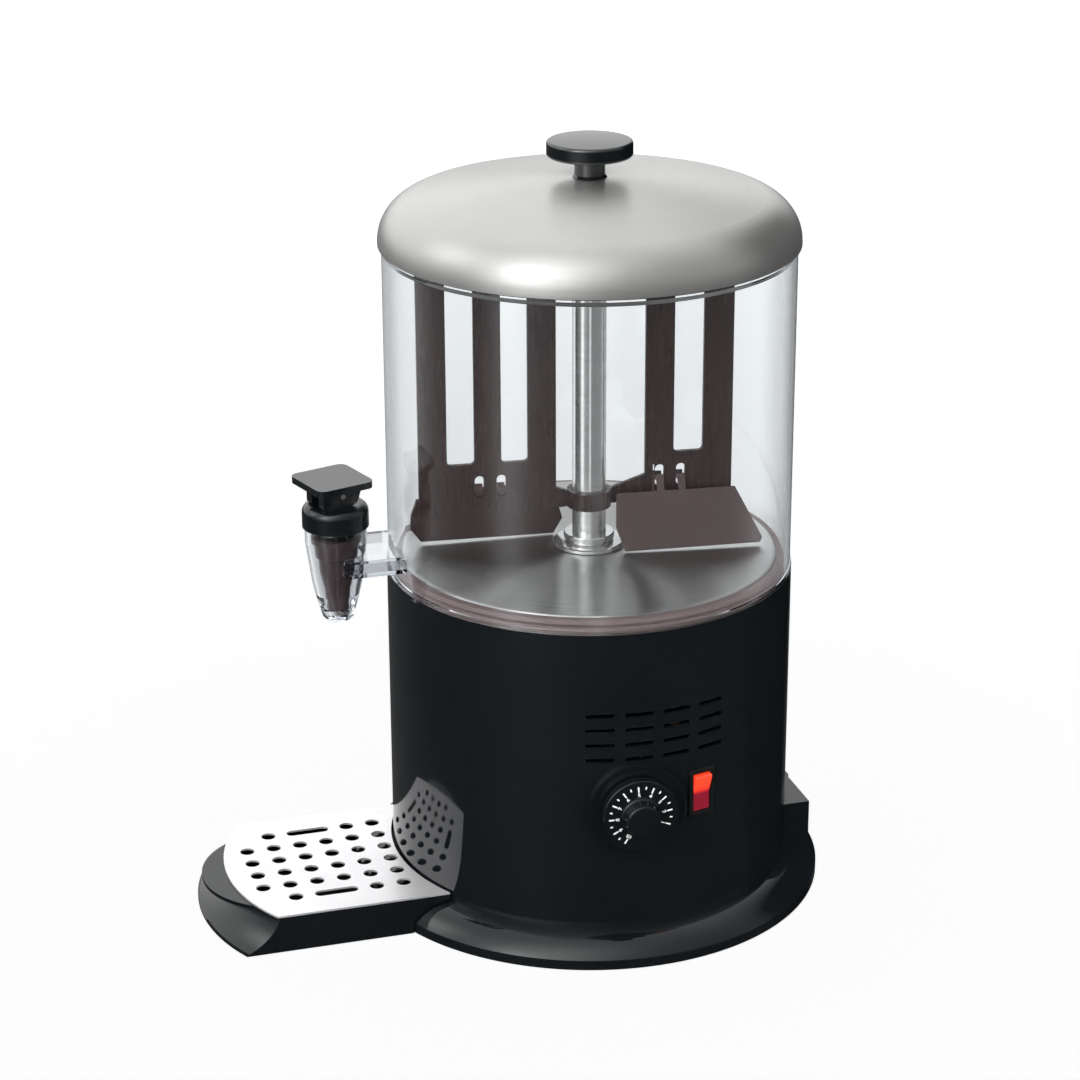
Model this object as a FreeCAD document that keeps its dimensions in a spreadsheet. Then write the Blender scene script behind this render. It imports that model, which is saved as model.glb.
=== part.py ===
import FreeCAD, Part
import math
import os
from types import SimpleNamespace

import Sketcher
from FreeCAD import Placement, Rotation, Vector

# Heated sauce dispenser.  Millimetres, +Z up.
# Origin: centre of the base on the table.  The tap and the drip tray point to -Y,
# the controls face +X and the rear housing points to +Y.

doc = FreeCAD.newDocument("sauce_dispenser")

DRIVING_SIZES = {
    # base
    "base_radius": 120.0,
    "base_top": 204.0,
    "shell_wall": 2.5,
    "screw_radius": 1.6,
    "foot_radius": 140.0,
    "foot_gap": 4.0,
    "foot_edge": 6.0,
    "flare_height": 12.0,
    "flare_radius": 26.0,
    "feet_circle": 117.0,
    "rubber_radius": 10.0,
    "rubber_height": 5.7,
    "bottom_floor": 5.75,
    "bottom_top": 6.95,
    "collar_radius": 109.6,
    "collar_top": 211.0,
    "rear_half_width": 56.0,
    "rear_face": 123.0,
    "rear_top": 52.0,
    "rear_wall": 2.5,
    "inlet_floor": 31.0,
    "inlet_top": 50.5,
    "inlet_half_width": 14.5,
    # heated plate, bath and gasket
    "plate_radius": 110.9,
    "plate_crown": 213.7,
    "plate_sheet": 1.0,
    "tank_radius": 104.0,
    "tank_floor": 150.0,
    "tank_sheet": 0.8,
    "tank_rim": 211.05,
    "heater_ring": 60.0,
    "heater_tube": 3.5,
    "heater_height": 162.0,
    "heater_leg": 20.0,
    "thermostat_half": 16.0,
    "thermostat_stem": 3.0,
    # column and drive
    "column_radius": 10.0,
    "column_wall": 1.2,
    "column_top": 382.0,
    "column_foot": 144.0,
    "shaft_radius": 4.0,
    "shaft_top": 395.0,
    "shaft_square": 5.4,
    "gear_module": 1.2,
    "gear_teeth": 42.0,
    "pinion_teeth": 14.0,
    "gear_face": 8.0,
    "gear_floor": 96.0,
    "case_floor": 92.0,
    "case_roof": 112.0,
    "stack_half": 26.0,
    "rotor_radius": 12.0,
    "rotor_shaft": 2.5,
    "stack_floor": 64.0,
    "bracket_half": 60.0,
    "bracket_hole_x": 66.0,
    "bracket_hole_y": 16.0,
    "bracket_sheet": 1.5,
    # paddle and scrapers
    "paddle_sheet": 3.0,
    "paddle_top": 394.0,
    "paddle_slot_top": 384.0,
    "guide_floor": 238.0,
    "guide_top": 248.4,
    "long_wing": 101.0,
    "short_wing": 86.0,
    "wing_turn": 84.0,
    "scraper_sheet": 2.5,
    "scraper_pivot": 252.5,
    "scraper_lean": 25.0,
    # bowl
    "bowl_radius": 119.6,
    "bowl_wall": 3.0,
    "bowl_top": 402.0,
    "duct_half_width": 22.8,
    "duct_floor": 216.3,
    "duct_roof": 226.3,
    "duct_wall": 2.0,
    # lid
    "lid_radius": 121.3,
    "lid_rim": 399.0,
    "lid_skirt": 1.5,
    "lid_shoulder": 25.0,
    "lid_apex": 436.0,
    "lid_sheet": 0.8,
    "knob_radius": 24.7,
    "knob_top": 457.8,
    "knob_thick": 9.6,
    "knob_stem": 8.8,
    # tap
    "tap_reach": 153.0,
    "tap_tip": 184.0,
    "tap_top": 246.5,
    "tap_radius": 17.9,
    "bonnet_radius": 19.3,
    "bonnet_skirt": 241.5,
    "bonnet_top": 255.5,
    "stem_radius": 4.0,
    "spring_radius": 6.85,
    "spring_wire": 0.7,
    "lever_pivot": 262.0,
    "lever_top": 271.0,
    "lever_plate": 4.0,
    "lever_turn": 17.0,
    # drip tray
    "tray_half_width": 61.85,
    "tray_floor": 4.0,
    "tray_top": 26.3,
    "tray_arc": 130.0,
    "tray_arc_centre": 112.0,
    "scoop_top": 112.6,
    "tray_wall": 2.5,
    "grid_sheet": 1.2,
    "grid_inner": 121.4,
    "grid_pitch": 16.25,
    "grid_hole": 4.3,
    "grid_first_row": 127.2,
    # controls
    "dial_turn": -4.0,
    "dial_height": 95.5,
    "bezel_radius": 29.2,
    "bezel_face": 122.4,
    "dial_radius": 22.0,
    "rocker_turn": 15.2,
    "rocker_height": 99.5,
    "rocker_half_width": 7.0,
    "rocker_half_height": 13.2,
    "rocker_tilt": 7.0,
    "vent_first_turn": -14.2,
    "vent_span": 32.4,
    "vent_top": 154.6,
    "vent_pitch": 9.1,
    "vent_half_length": 8.5,
    "vent_half_height": 1.3,
    # fits
    "running_gap": 0.06,
    "seat_gap": 0.05,
}


def as_size(value):
    """Return a Size for a plain number or a Size."""
    if isinstance(value, Size):
        return value
    return Size(value, "%.10g" % value)


class Size:
    """A length that carries its number and its formula in the sheet."""

    def __init__(self, number, formula):
        self.number = float(number)
        self.formula = formula

    def __add__(self, other):
        other = as_size(other)
        return Size(self.number + other.number, "(%s + %s)" % (self.formula, other.formula))

    def __sub__(self, other):
        other = as_size(other)
        return Size(self.number - other.number, "(%s - %s)" % (self.formula, other.formula))

    def __mul__(self, other):
        other = as_size(other)
        return Size(self.number * other.number, "(%s * %s)" % (self.formula, other.formula))

    def __truediv__(self, other):
        other = as_size(other)
        return Size(self.number / other.number, "(%s / %s)" % (self.formula, other.formula))

    def __radd__(self, other):
        return as_size(other) + self

    def __rsub__(self, other):
        return as_size(other) - self

    def __neg__(self):
        return as_size(0.0) - self

    def root(self):
        return Size(math.sqrt(self.number), "sqrt(%s)" % self.formula)


def make_sheet():
    """Write the driving sizes as plain numbers with aliases."""
    sheet = doc.addObject("Spreadsheet::Sheet", "Sizes")
    for row, (alias, number) in enumerate(DRIVING_SIZES.items(), start=1):
        sheet.set("A%d" % row, alias)
        sheet.set("B%d" % row, "%g" % number)
        sheet.setAlias("B%d" % row, alias)
    doc.recompute()
    named = {alias: Size(number, "Sizes." + alias) for alias, number in DRIVING_SIZES.items()}
    return SimpleNamespace(**named)


size = make_sheet()
NODES = []
UP = Vector(0, 0, 1)
OUTWARD = Vector(1, 0, 0)
NO_SHIFT = Vector(0, 0, 0)


# ---------------------------------------------------------------- tools

def bind(thing, path, value):
    """Tie a property of a document object to the sheet."""
    thing.setExpression(path, as_size(value).formula)


def node(thing, name):
    """Keep this object as a node of the dispenser."""
    thing.Label = name
    NODES.append(thing)
    return thing


def place(thing, x=0.0, y=0.0, z=0.0, turn=0.0):
    """Give a finished object its place: a turn in degrees about the upright axis, then a shift."""
    thing.Placement = Placement(NO_SHIFT, Rotation(UP, as_size(turn).number))
    for path, value in (("x", x), ("y", y), ("z", z)):
        bind(thing, "Placement.Base." + path, value)
    return thing


def new_body(name):
    """An empty PartDesign body."""
    return doc.addObject("PartDesign::Body", name)


def new_sketch(body, name, plane="XY_Plane", offset=0.0, shift=0.0, turn=0.0):
    """Attach a sketch to one of its body's own origin planes.

    offset moves it along the plane's normal, shift along the sketch's first axis and
    turn (degrees) turns it about its second axis."""
    sketch = body.newObject("Sketcher::SketchObject", name)
    support = [part for part in body.Origin.OriginFeatures if part.Role == plane][0]
    sketch.AttachmentSupport = [(support, "")]
    sketch.MapMode = "FlatFace"
    sketch.AttachmentOffset = Placement(NO_SHIFT, Rotation(Vector(0, 1, 0), as_size(turn).number))
    bind(sketch, "AttachmentOffset.Base.x", shift)
    bind(sketch, "AttachmentOffset.Base.z", offset)
    return sketch


def fix_point(sketch, geometry, point, x, y):
    """Hold one point of a sketch at a distance from the sketch's origin."""
    for kind, value in (("DistanceX", x), ("DistanceY", y)):
        index = sketch.addConstraint(
            Sketcher.Constraint(kind, -1, 1, geometry, point, as_size(value).number))
        bind(sketch, "Constraints[%d]" % index, value)


def fix_radius(sketch, geometry, radius):
    """Hold the radius of an arc or a circle."""
    index = sketch.addConstraint(Sketcher.Constraint("Radius", geometry, as_size(radius).number))
    bind(sketch, "Constraints[%d]" % index, radius)


def arc_edge(start, end, radius):
    """The short arc from start to end: counter-clockwise for a positive radius."""
    side = 1.0 if radius > 0 else -1.0
    chord = end - start
    left = Vector(-chord.y, chord.x, 0).normalize() * side
    rise = math.sqrt(radius * radius - chord.Length * chord.Length / 4.0)
    centre = (start + end) * 0.5 + left * rise
    middle = centre - left * abs(radius)
    if radius > 0:
        return Part.Arc(start, middle, end)
    return Part.Arc(end, middle, start)


def outline(sketch, corners):
    """Draw a closed outline through corners (x, y) or (x, y, radius).

    A radius makes the edge that leaves the corner an arc: positive is counter-clockwise."""
    places = [Vector(as_size(corner[0]).number, as_size(corner[1]).number, 0) for corner in corners]
    ends = []
    for index, corner in enumerate(corners):
        start, end = places[index], places[(index + 1) % len(corners)]
        radius = as_size(corner[2]) if len(corner) > 2 else None
        if radius is None:
            geometry = sketch.addGeometry(Part.LineSegment(start, end), False)
            ends.append((geometry, 1, 2))
        else:
            geometry = sketch.addGeometry(arc_edge(start, end, radius.number), False)
            ends.append((geometry, 1, 2) if radius.number > 0 else (geometry, 2, 1))
    for index, (geometry, first, last) in enumerate(ends):
        following = ends[(index + 1) % len(ends)]
        sketch.addConstraint(Sketcher.Constraint("Coincident", geometry, last, following[0], following[1]))
        fix_point(sketch, geometry, first, corners[index][0], corners[index][1])
    for corner, (geometry, first, last) in zip(corners, ends):
        if len(corner) > 2:
            radius = as_size(corner[2])
            fix_radius(sketch, geometry, radius if radius.number > 0 else -radius)


def circle(sketch, x, y, radius):
    """Draw a circle about (x, y)."""
    centre = Vector(as_size(x).number, as_size(y).number, 0)
    geometry = sketch.addGeometry(Part.Circle(centre, UP, as_size(radius).number), False)
    fix_point(sketch, geometry, 3, x, y)
    fix_radius(sketch, geometry, radius)


def rectangle(sketch, low_x, low_y, high_x, high_y):
    """Draw a rectangle between two corners."""
    outline(sketch, [(low_x, low_y), (high_x, low_y), (high_x, high_y), (low_x, high_y)])


def slot(sketch, x, y, half_length, radius, upright=False):
    """Draw a slot centred on (x, y) whose round ends are quarter arcs."""
    x, y = as_size(x), as_size(y)
    reach = as_size(half_length) - radius
    if upright:
        outline(sketch, [
            (x - radius, y - reach, radius), (x, y - half_length, radius), (x + radius, y - reach),
            (x + radius, y + reach, radius), (x, y + half_length, radius), (x - radius, y + reach)])
    else:
        outline(sketch, [
            (x + reach, y - radius, radius), (x + half_length, y, radius), (x + reach, y + radius),
            (x - reach, y + radius, radius), (x - half_length, y, radius), (x - reach, y - radius)])


def rounded_window(sketch, low_x, low_z, high_x, high_z, radius):
    """Draw a rectangle whose corners are rounded."""
    left, right, floor, roof = (as_size(value) for value in (low_x, high_x, low_z, high_z))
    outline(sketch, [
        (left + radius, floor), (right - radius, floor, radius), (right, floor + radius),
        (right, roof - radius, radius), (right - radius, roof), (left + radius, roof, radius),
        (left, roof - radius), (left, floor + radius, radius)])


def pad(body, sketch, length):
    """Add a sketch to the body as a block of some length along the sketch's normal."""
    feature = body.newObject("PartDesign::Pad", sketch.Name + "_pad")
    feature.Profile = sketch
    bind(feature, "Length", length)
    return feature


def pocket(body, sketch, length=None, reverse=False):
    """Cut a sketch out of the body, through everything when no length is given."""
    feature = body.newObject("PartDesign::Pocket", sketch.Name + "_pocket")
    feature.Profile = sketch
    feature.Reversed = reverse
    if length is None:
        feature.Type = "ThroughAll"
    else:
        bind(feature, "Length", length)
    return feature


def spin(body, sketch, kind="PartDesign::Revolution"):
    """Turn a sketch once round its own vertical axis."""
    feature = body.newObject(kind, sketch.Name + "_turned")
    feature.Profile = sketch
    feature.ReferenceAxis = (sketch, ["V_Axis"])
    feature.Angle = 360
    return feature


def polar(body, feature, count, angle, name):
    """Repeat a feature about the body's Z axis."""
    axis = [part for part in body.Origin.OriginFeatures if part.Role == "Z_Axis"][0]
    pattern = body.newObject("PartDesign::PolarPattern", name)
    pattern.Originals = [feature]
    pattern.Axis = (axis, [""])
    pattern.Occurrences = count
    bind(pattern, "Angle", angle)
    body.Tip = pattern
    return pattern


def turned(name, corners):
    """A body made by one turned outline of (radius, height) corners."""
    body = new_body(name)
    sketch = new_sketch(body, name + "_outline", "XZ_Plane")
    outline(sketch, corners)
    spin(body, sketch)
    return body


def box(name, low, high):
    """A Part box between two corners."""
    part = doc.addObject("Part::Box", name)
    for side, start, end in zip(("Length", "Width", "Height"), low, high):
        bind(part, side, as_size(end) - start)
    for axis, start in zip("xyz", low):
        bind(part, "Placement.Base." + axis, start)
    return part


def rod(name, radius, length, x=0.0, y=0.0, z=0.0, along=UP):
    """A Part cylinder that starts at (x, y, z) and runs along a direction."""
    part = doc.addObject("Part::Cylinder", name)
    bind(part, "Radius", radius)
    bind(part, "Height", length)
    part.Placement = Placement(NO_SHIFT, Rotation(UP, along))
    for axis, start in (("x", x), ("y", y), ("z", z)):
        bind(part, "Placement.Base." + axis, start)
    return part


def cut(name, base, tool):
    """One object less another."""
    part = doc.addObject("Part::Cut", name)
    part.Base = base
    part.Tool = tool
    return part


def join(name, parts):
    """Several objects fused into one."""
    part = doc.addObject("Part::MultiFuse", name)
    part.Shapes = parts
    return part


def group(name, parts):
    """Several objects kept apart in one compound."""
    part = doc.addObject("Part::Compound", name)
    part.Links = parts
    return part


def around(count, radius, first=0.0):
    """Even places round the Z axis: (x, y) pairs as sizes."""
    steps = [math.radians(first + 360.0 * index / count) for index in range(count)]
    return [(as_size(radius) * math.cos(step), as_size(radius) * math.sin(step)) for step in steps]


# ---------------------------------------------------------------- base

foot_top = size.foot_gap + size.foot_edge
flare_top = foot_top + size.flare_height
shell_inner = size.base_radius - size.shell_wall
FOOT_COUNT = 4
VENT_ROWS = 4
VENT_COLUMNS = 4
spindle_hole = size.thermostat_stem + 2.2


def foot_outside(gap):
    """Corners of the foot's outside, moved outwards by a gap."""
    outside = size.foot_radius + gap
    return [(outside, size.foot_gap), (outside, foot_top + gap, size.flare_radius),
            (size.base_radius + gap, flare_top + gap)]


def make_foot_ring():
    """The flared foot: a thin moulding with a spigot for the shell and four screw posts."""
    wall = size.shell_wall
    spigot = shell_inner - 0.1
    spigot_top = flare_top + 8.0
    ledge = size.bottom_top + size.seat_gap
    rim = size.foot_radius - 3.0
    body = turned("foot_ring", foot_outside(0.0) + [
        (spigot, flare_top), (spigot, spigot_top), (spigot - wall, spigot_top),
        (spigot - wall, flare_top - 4.0), (119.0, ledge + 7.8), (128.0, ledge + 1.6), (134.0, ledge),
        (rim, ledge), (rim, size.foot_gap)])
    post = new_sketch(body, "post_outline", offset=ledge)
    circle(post, 0.0, size.feet_circle, 6.0)
    post_pad = pad(body, post, 12.0)
    polar(body, post_pad, FOOT_COUNT, 360.0, "foot_posts")
    hole = new_sketch(body, "post_hole_outline", offset=ledge)
    circle(hole, 0.0, size.feet_circle, size.screw_radius)
    hole_pocket = pocket(body, hole, 10.0, reverse=True)
    polar(body, hole_pocket, FOOT_COUNT, 360.0, "foot_post_holes")
    node(body, "foot_ring")


def make_base_shell():
    """The upright shell with its deck, gasket collar, vents and openings for the controls."""
    deck = size.base_top - size.shell_wall
    floor = flare_top + size.seat_gap
    collar_inner = size.collar_radius - 2.6
    body = turned("base_shell", [
        (size.base_radius, floor), (size.base_radius, size.base_top), (size.collar_radius, size.base_top),
        (size.collar_radius, size.collar_top), (collar_inner, size.collar_top), (collar_inner, deck),
        (shell_inner, deck), (shell_inner, floor)])
    vents = new_sketch(body, "vents_outline", "YZ_Plane", turn=size.vent_first_turn)
    for row in range(VENT_ROWS):
        height = size.vent_top - size.vent_pitch * row
        slot(vents, 0.0, height, size.vent_half_length, size.vent_half_height)
    column = pocket(body, vents, reverse=True)
    polar(body, column, VENT_COLUMNS, size.vent_span, "vent_columns")
    spindle = new_sketch(body, "spindle_opening", "YZ_Plane", turn=size.dial_turn)
    circle(spindle, 0.0, size.dial_height, spindle_hole)
    pocket(body, spindle, reverse=True)
    switch = new_sketch(body, "switch_opening", "YZ_Plane", turn=size.rocker_turn)
    rectangle(switch, -size.rocker_half_width, size.rocker_height - size.rocker_half_height,
              size.rocker_half_width, size.rocker_height + size.rocker_half_height)
    pocket(body, switch, reverse=True)
    inlet = new_sketch(body, "inlet_opening", "XZ_Plane")
    rectangle(inlet, -size.inlet_half_width, size.inlet_floor, size.inlet_half_width, size.inlet_top)
    pocket(body, inlet)
    node(body, "base_shell")


def bracket_holes():
    """Where the four screws hold the motor bracket to the bottom plate."""
    across, along = size.bracket_hole_x, size.bracket_hole_y
    return [(-across, -along), (-across, along), (across, -along), (across, along)]


def make_bottom_plate():
    """The steel plate that closes the foot, with holes for the feet's screws."""
    body = new_body("bottom_plate")
    sketch = new_sketch(body, "plate_outline", offset=size.bottom_floor)
    circle(sketch, 0.0, 0.0, size.foot_radius - 3.5)
    for x, y in around(FOOT_COUNT, size.feet_circle):
        circle(sketch, x, y, size.screw_radius + 0.6)
    for x, y in bracket_holes():
        circle(sketch, x, y, size.screw_radius)
    pad(body, sketch, size.bottom_top - size.bottom_floor)
    node(body, "bottom_plate")


def make_feet():
    """Solid rubber feet, each moulded over the head of a screw that holds it and the bottom plate."""
    head_floor, head_height, head_radius = 3.1, 1.6, 3.8
    reach = 12.0
    feet = []
    screws = []
    for index, (x, y) in enumerate(around(FOOT_COUNT, size.feet_circle)):
        block = rod("foot_block_%d" % index, size.rubber_radius, size.rubber_height, x, y)
        head_room = rod("foot_head_room_%d" % index, head_radius + 0.02, head_height + 0.04, x, y,
                        head_floor - 0.02)
        shank_room = rod("foot_shank_room_%d" % index, size.screw_radius + 0.02, size.rubber_height, x, y,
                         head_floor)
        feet.append(cut("foot_%d" % index, block, join("foot_tool_%d" % index, [head_room, shank_room])))
        head = rod("foot_head_%d" % index, head_radius, head_height, x, y, head_floor)
        shank = rod("foot_shank_%d" % index, size.screw_radius, reach, x, y, head_floor)
        screws.append(join("foot_screw_%d" % index, [head, shank]))
    node(group("rubber_feet_group", feet), "rubber_feet")
    node(group("foot_screws_group", screws), "foot_screws")


def make_rear_housing():
    """The flat-backed housing that carries the power inlet behind the shell."""
    half, wall, front = size.rear_half_width, size.rear_wall, 60.0
    outer = box("rear_outer", (-half, front, foot_top), (half, size.rear_face, size.rear_top))
    inner = box("rear_inner", (wall - half, front, 0.0),
                (half - wall, size.rear_face - wall, size.rear_top - wall))
    barrel = rod("rear_barrel", size.base_radius + size.seat_gap, size.rear_top + 8.0)
    foot = turned("rear_foot_tool", foot_outside(size.seat_gap) + [
        (0.0, flare_top + size.seat_gap), (0.0, size.foot_gap)])
    window_half = size.inlet_half_width - 0.7
    window = box("rear_window", (-window_half, 100.0, size.inlet_floor + 0.2),
                 (window_half, size.rear_face + 10.0, size.inlet_top - 0.2))
    node(cut("rear_housing_cut", outer, join("rear_tools", [inner, barrel, foot, window])), "rear_housing")


def make_power_inlet():
    """The mains inlet: a flanged socket with three flat pins."""
    half, floor, top = size.inlet_half_width, size.inlet_floor, size.inlet_top
    inner_end, pin_end = 101.0, size.rear_face - 2.0
    flange = box("inlet_flange", (-half - 1.5, size.rear_face, floor - 1.5),
                 (half + 1.5, size.rear_face + 2.0, top + 1.0))
    barrel = box("inlet_barrel", (0.9 - half, inner_end, floor + 0.4),
                 (half - 0.9, size.rear_face, top - 0.4))
    mouth = box("inlet_mouth", (2.7 - half, inner_end + 7.0, floor + 2.2),
                (half - 2.7, size.rear_face + 7.0, top - 2.2))
    shell = cut("inlet_shell", join("inlet_block", [flange, barrel]), mouth)
    pins = [box("inlet_pin_%d" % index, (x - 1.0, inner_end - 1.0, z - 2.0), (x + 1.0, pin_end, z + 2.0))
            for index, (x, z) in enumerate(((-7.0, 39.0), (0.0, 43.0), (7.0, 39.0)))]
    node(join("power_inlet_joined", [shell] + pins), "power_inlet")


# ---------------------------------------------------------------- heated plate and bath

def make_gasket():
    """The brown ring between the collar and the bowl, with two sealing ribs."""
    inner = size.collar_radius + size.seat_gap
    rib = size.bowl_radius - 0.5 - size.bowl_wall - size.seat_gap
    floor = size.base_top + size.seat_gap
    node(turned("bowl_gasket", [
        (inner, floor), (rib - 0.4, floor), (rib, floor + 1.5), (rib - 0.9, floor + 3.5), (rib, floor + 5.5),
        (rib - 1.0, floor + 7.7), (inner, floor + 7.7)]), "bowl_gasket")


def make_bath_cover():
    """The slightly crowned steel plate that closes the water bath and forms the bowl's floor."""
    rim = size.plate_radius
    crown = size.plate_crown
    hole = size.column_radius + size.seat_gap
    node(turned("bath_cover", [
        (hole, crown), (22.0, crown), (rim - 2.0, crown - 0.8), (rim - 0.6, crown - 1.1), (rim, crown - 1.7),
        (rim, crown - 1.85), (rim - 2.0, crown - 1.85), (22.0, crown - size.plate_sheet),
        (hole, crown - size.plate_sheet)]), "bath_cover")


def heater_legs():
    """Where the ring element turns down: two places (x, y) on its circle."""
    forward = (size.heater_ring * size.heater_ring - size.heater_leg * size.heater_leg).root()
    return [(-size.heater_leg, -forward), (size.heater_leg, -forward)]


def make_water_tank():
    """The drawn pan of the water bath, hung on the collar by its flange."""
    flange = size.collar_radius - 0.2
    flange_top = size.tank_rim + 0.7
    inner, inner_floor = size.tank_radius - size.tank_sheet, size.tank_floor + size.tank_sheet
    hole = size.column_radius + size.seat_gap
    body = turned("water_tank", [
        (flange, size.tank_rim), (flange, flange_top), (inner, flange_top), (inner, inner_floor),
        (hole, inner_floor), (hole, size.tank_floor), (size.tank_radius, size.tank_floor),
        (size.tank_radius, size.tank_rim)])
    legs = new_sketch(body, "leg_holes")
    for x, y in heater_legs():
        circle(legs, x, y, size.heater_tube + 1.1)
    pocket(body, legs, reverse=True)
    node(body, "water_tank")


def make_heater():
    """The ring element, its two upright legs and the nuts that seal them in the tank's floor."""
    ring = doc.addObject("Part::Torus", "heater_ring")
    bind(ring, "Radius1", size.heater_ring)
    bind(ring, "Radius2", size.heater_tube)
    half_opening = math.degrees(math.asin(size.heater_leg.number / size.heater_ring.number))
    ring.Angle3 = 360.0 - 2.0 * half_opening
    place(ring, 0.0, 0.0, size.heater_height, turn=half_opening - 90.0)
    leg_length, nut_height = 28.0, 5.0
    parts = [ring]
    nuts = []
    for index, (x, y) in enumerate(heater_legs()):
        parts.append(rod("heater_leg_%d" % index, size.heater_tube, leg_length, x, y,
                         size.heater_height - leg_length))
        elbow = doc.addObject("Part::Sphere", "heater_elbow_%d" % index)
        bind(elbow, "Radius", size.heater_tube)
        place(elbow, x, y, size.heater_height)
        parts.append(elbow)
        nut = doc.addObject("Part::Prism", "heater_nut_%d" % index)
        nut.Polygon = 6
        nut.Circumradius = 9.0
        bind(nut, "Height", nut_height)
        place(nut, x, y, size.tank_floor - nut_height)
        bore = rod("heater_nut_bore_%d" % index, size.heater_tube + 0.02, nut_height + 1.0, x, y,
                   size.tank_floor - nut_height - 0.5)
        nuts.append(cut("heater_nut_cut_%d" % index, nut, bore))
    node(join("heating_element_joined", parts), "heating_element")
    node(group("heater_nuts_group", nuts), "heater_nuts")


def make_thermostat():
    """The thermostat body behind the dial and the spindle that the dial turns."""
    half, height = size.thermostat_half, size.dial_height
    inner_end, outer_end = 78.0, 110.0
    block = box("thermostat_block", (inner_end, -half, height - half - 1.0),
                (outer_end, half, height + half - 1.0))
    nose = rod("thermostat_nose", 5.0, 6.0, outer_end, 0.0, height, OUTWARD)
    bore = rod("thermostat_bore", size.thermostat_stem + size.running_gap, 30.0, 96.0, 0.0, height, OUTWARD)
    body = cut("thermostat_cut", join("thermostat_joined", [block, nose]), bore)
    node(place(body, turn=size.dial_turn), "thermostat_body")
    stem = rod("thermostat_stem_rod", size.thermostat_stem, 33.0, 97.0, 0.0, height, OUTWARD)
    node(place(group("thermostat_spindle_group", [stem]), turn=size.dial_turn), "thermostat_spindle")


def make_thermostat_bulb():
    """The sensing bulb under the tank and the capillary that runs down to the thermostat.

    The capillary is a swept wire, which no primitive makes."""
    bulb_x, bulb_front, bulb_radius, bulb_length = 46.0, -30.0, 3.0, 56.0
    bulb_z = size.tank_floor.number - bulb_radius - 0.1
    bulb_end = bulb_front + bulb_length - 2.0
    down_x, down_y = 84.0, 6.0
    bends = [Vector(bulb_x, bulb_end, bulb_z), Vector(bulb_x, 36, bulb_z), Vector(down_x, 36, bulb_z - 14.0),
             Vector(down_x, down_y, bulb_z - 26.0),
             Vector(down_x, down_y, size.dial_height.number + size.thermostat_half.number - 1.0)]
    start = Part.makeCircle(1.0, bends[0], Vector(0, 1, 0))
    capillary = Part.Wire(Part.makePolygon(bends)).makePipeShell([Part.Wire([start])], True, True, 2)
    bulb = Part.makeCylinder(bulb_radius, bulb_length, Vector(bulb_x, bulb_front, bulb_z), Vector(0, 1, 0))
    feeler = doc.addObject("Part::Feature", "thermostat_bulb")
    feeler.Shape = bulb.fuse(capillary)
    node(feeler, "thermostat_bulb")


def make_cutout():
    """The snap-disc safety cut-out under the tank, with its two blades."""
    x, can_height = -45.0, 9.9
    under = size.tank_floor - 0.1 - can_height
    can = rod("cutout_can", 8.0, can_height, x, 0.0, under)
    blades = [box("cutout_blade_%d" % index, (x - 0.4, y - 3.0, under - 8.0),
                  (x + 0.4, y + 3.0, under + 1.0)) for index, y in enumerate((-4.5, 4.5))]
    node(join("safety_cutout_joined", [can] + blades), "safety_cutout")


# ---------------------------------------------------------------- column and drive

column_inner = size.column_radius - size.column_wall
gear_pitch = size.gear_module * size.gear_teeth / 2.0
pinion_pitch = size.gear_module * size.pinion_teeth / 2.0
motor_axis = gear_pitch + pinion_pitch


def make_column():
    """The tube through the bath and bowl, its collar and seal, and the two shaft bushes."""
    length = size.column_top - size.column_foot
    tube = rod("column_outer", size.column_radius, length, 0, 0, size.column_foot)
    bore = rod("column_bore", column_inner, length + 10.0, 0, 0, size.column_foot - 5.0)
    node(cut("column_tube_cut", tube, bore), "column_tube")
    hole = size.column_radius + size.seat_gap
    foot = size.plate_crown + size.seat_gap
    node(turned("column_collar", [
        (hole, foot), (18.6, foot), (18.6, foot + 0.6), (21.0, foot + 0.6), (21.0, foot + 2.4),
        (20.2, foot + 3.0), (13.6, foot + 3.6), (13.0, foot + 4.6), (15.0, foot + 5.2), (15.0, foot + 7.4),
        (14.4, foot + 8.1), (hole, foot + 8.1)]), "column_collar")
    node(turned("column_seal", [(18.7, foot), (20.6, foot), (20.6, foot + 0.5), (18.7, foot + 0.5)]),
         "column_seal")
    length, shaft_hole = 8.0, size.shaft_radius + size.running_gap
    for name, floor in (("lower_bush", size.column_foot), ("upper_bush", size.column_top - length)):
        shell = rod(name + "_outer", column_inner, length, 0, 0, floor)
        hole_tool = rod(name + "_bore", shaft_hole, length + 4.0, 0, 0, floor - 2.0)
        node(cut(name + "_cut", shell, hole_tool), name)


def make_drive_shaft():
    """The round shaft in the column, squared at the top where it drives the paddle."""
    floor = size.case_floor - 1.5
    round_part = rod("shaft_round", size.shaft_radius, size.column_top + 1.0 - floor, 0, 0, floor)
    half = size.shaft_square / 2.0
    square = box("shaft_square_end", (-half, -half, size.column_top), (half, half, size.shaft_top))
    node(place(join("drive_shaft_joined", [round_part, square]), turn=size.wing_turn), "drive_shaft")


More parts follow.
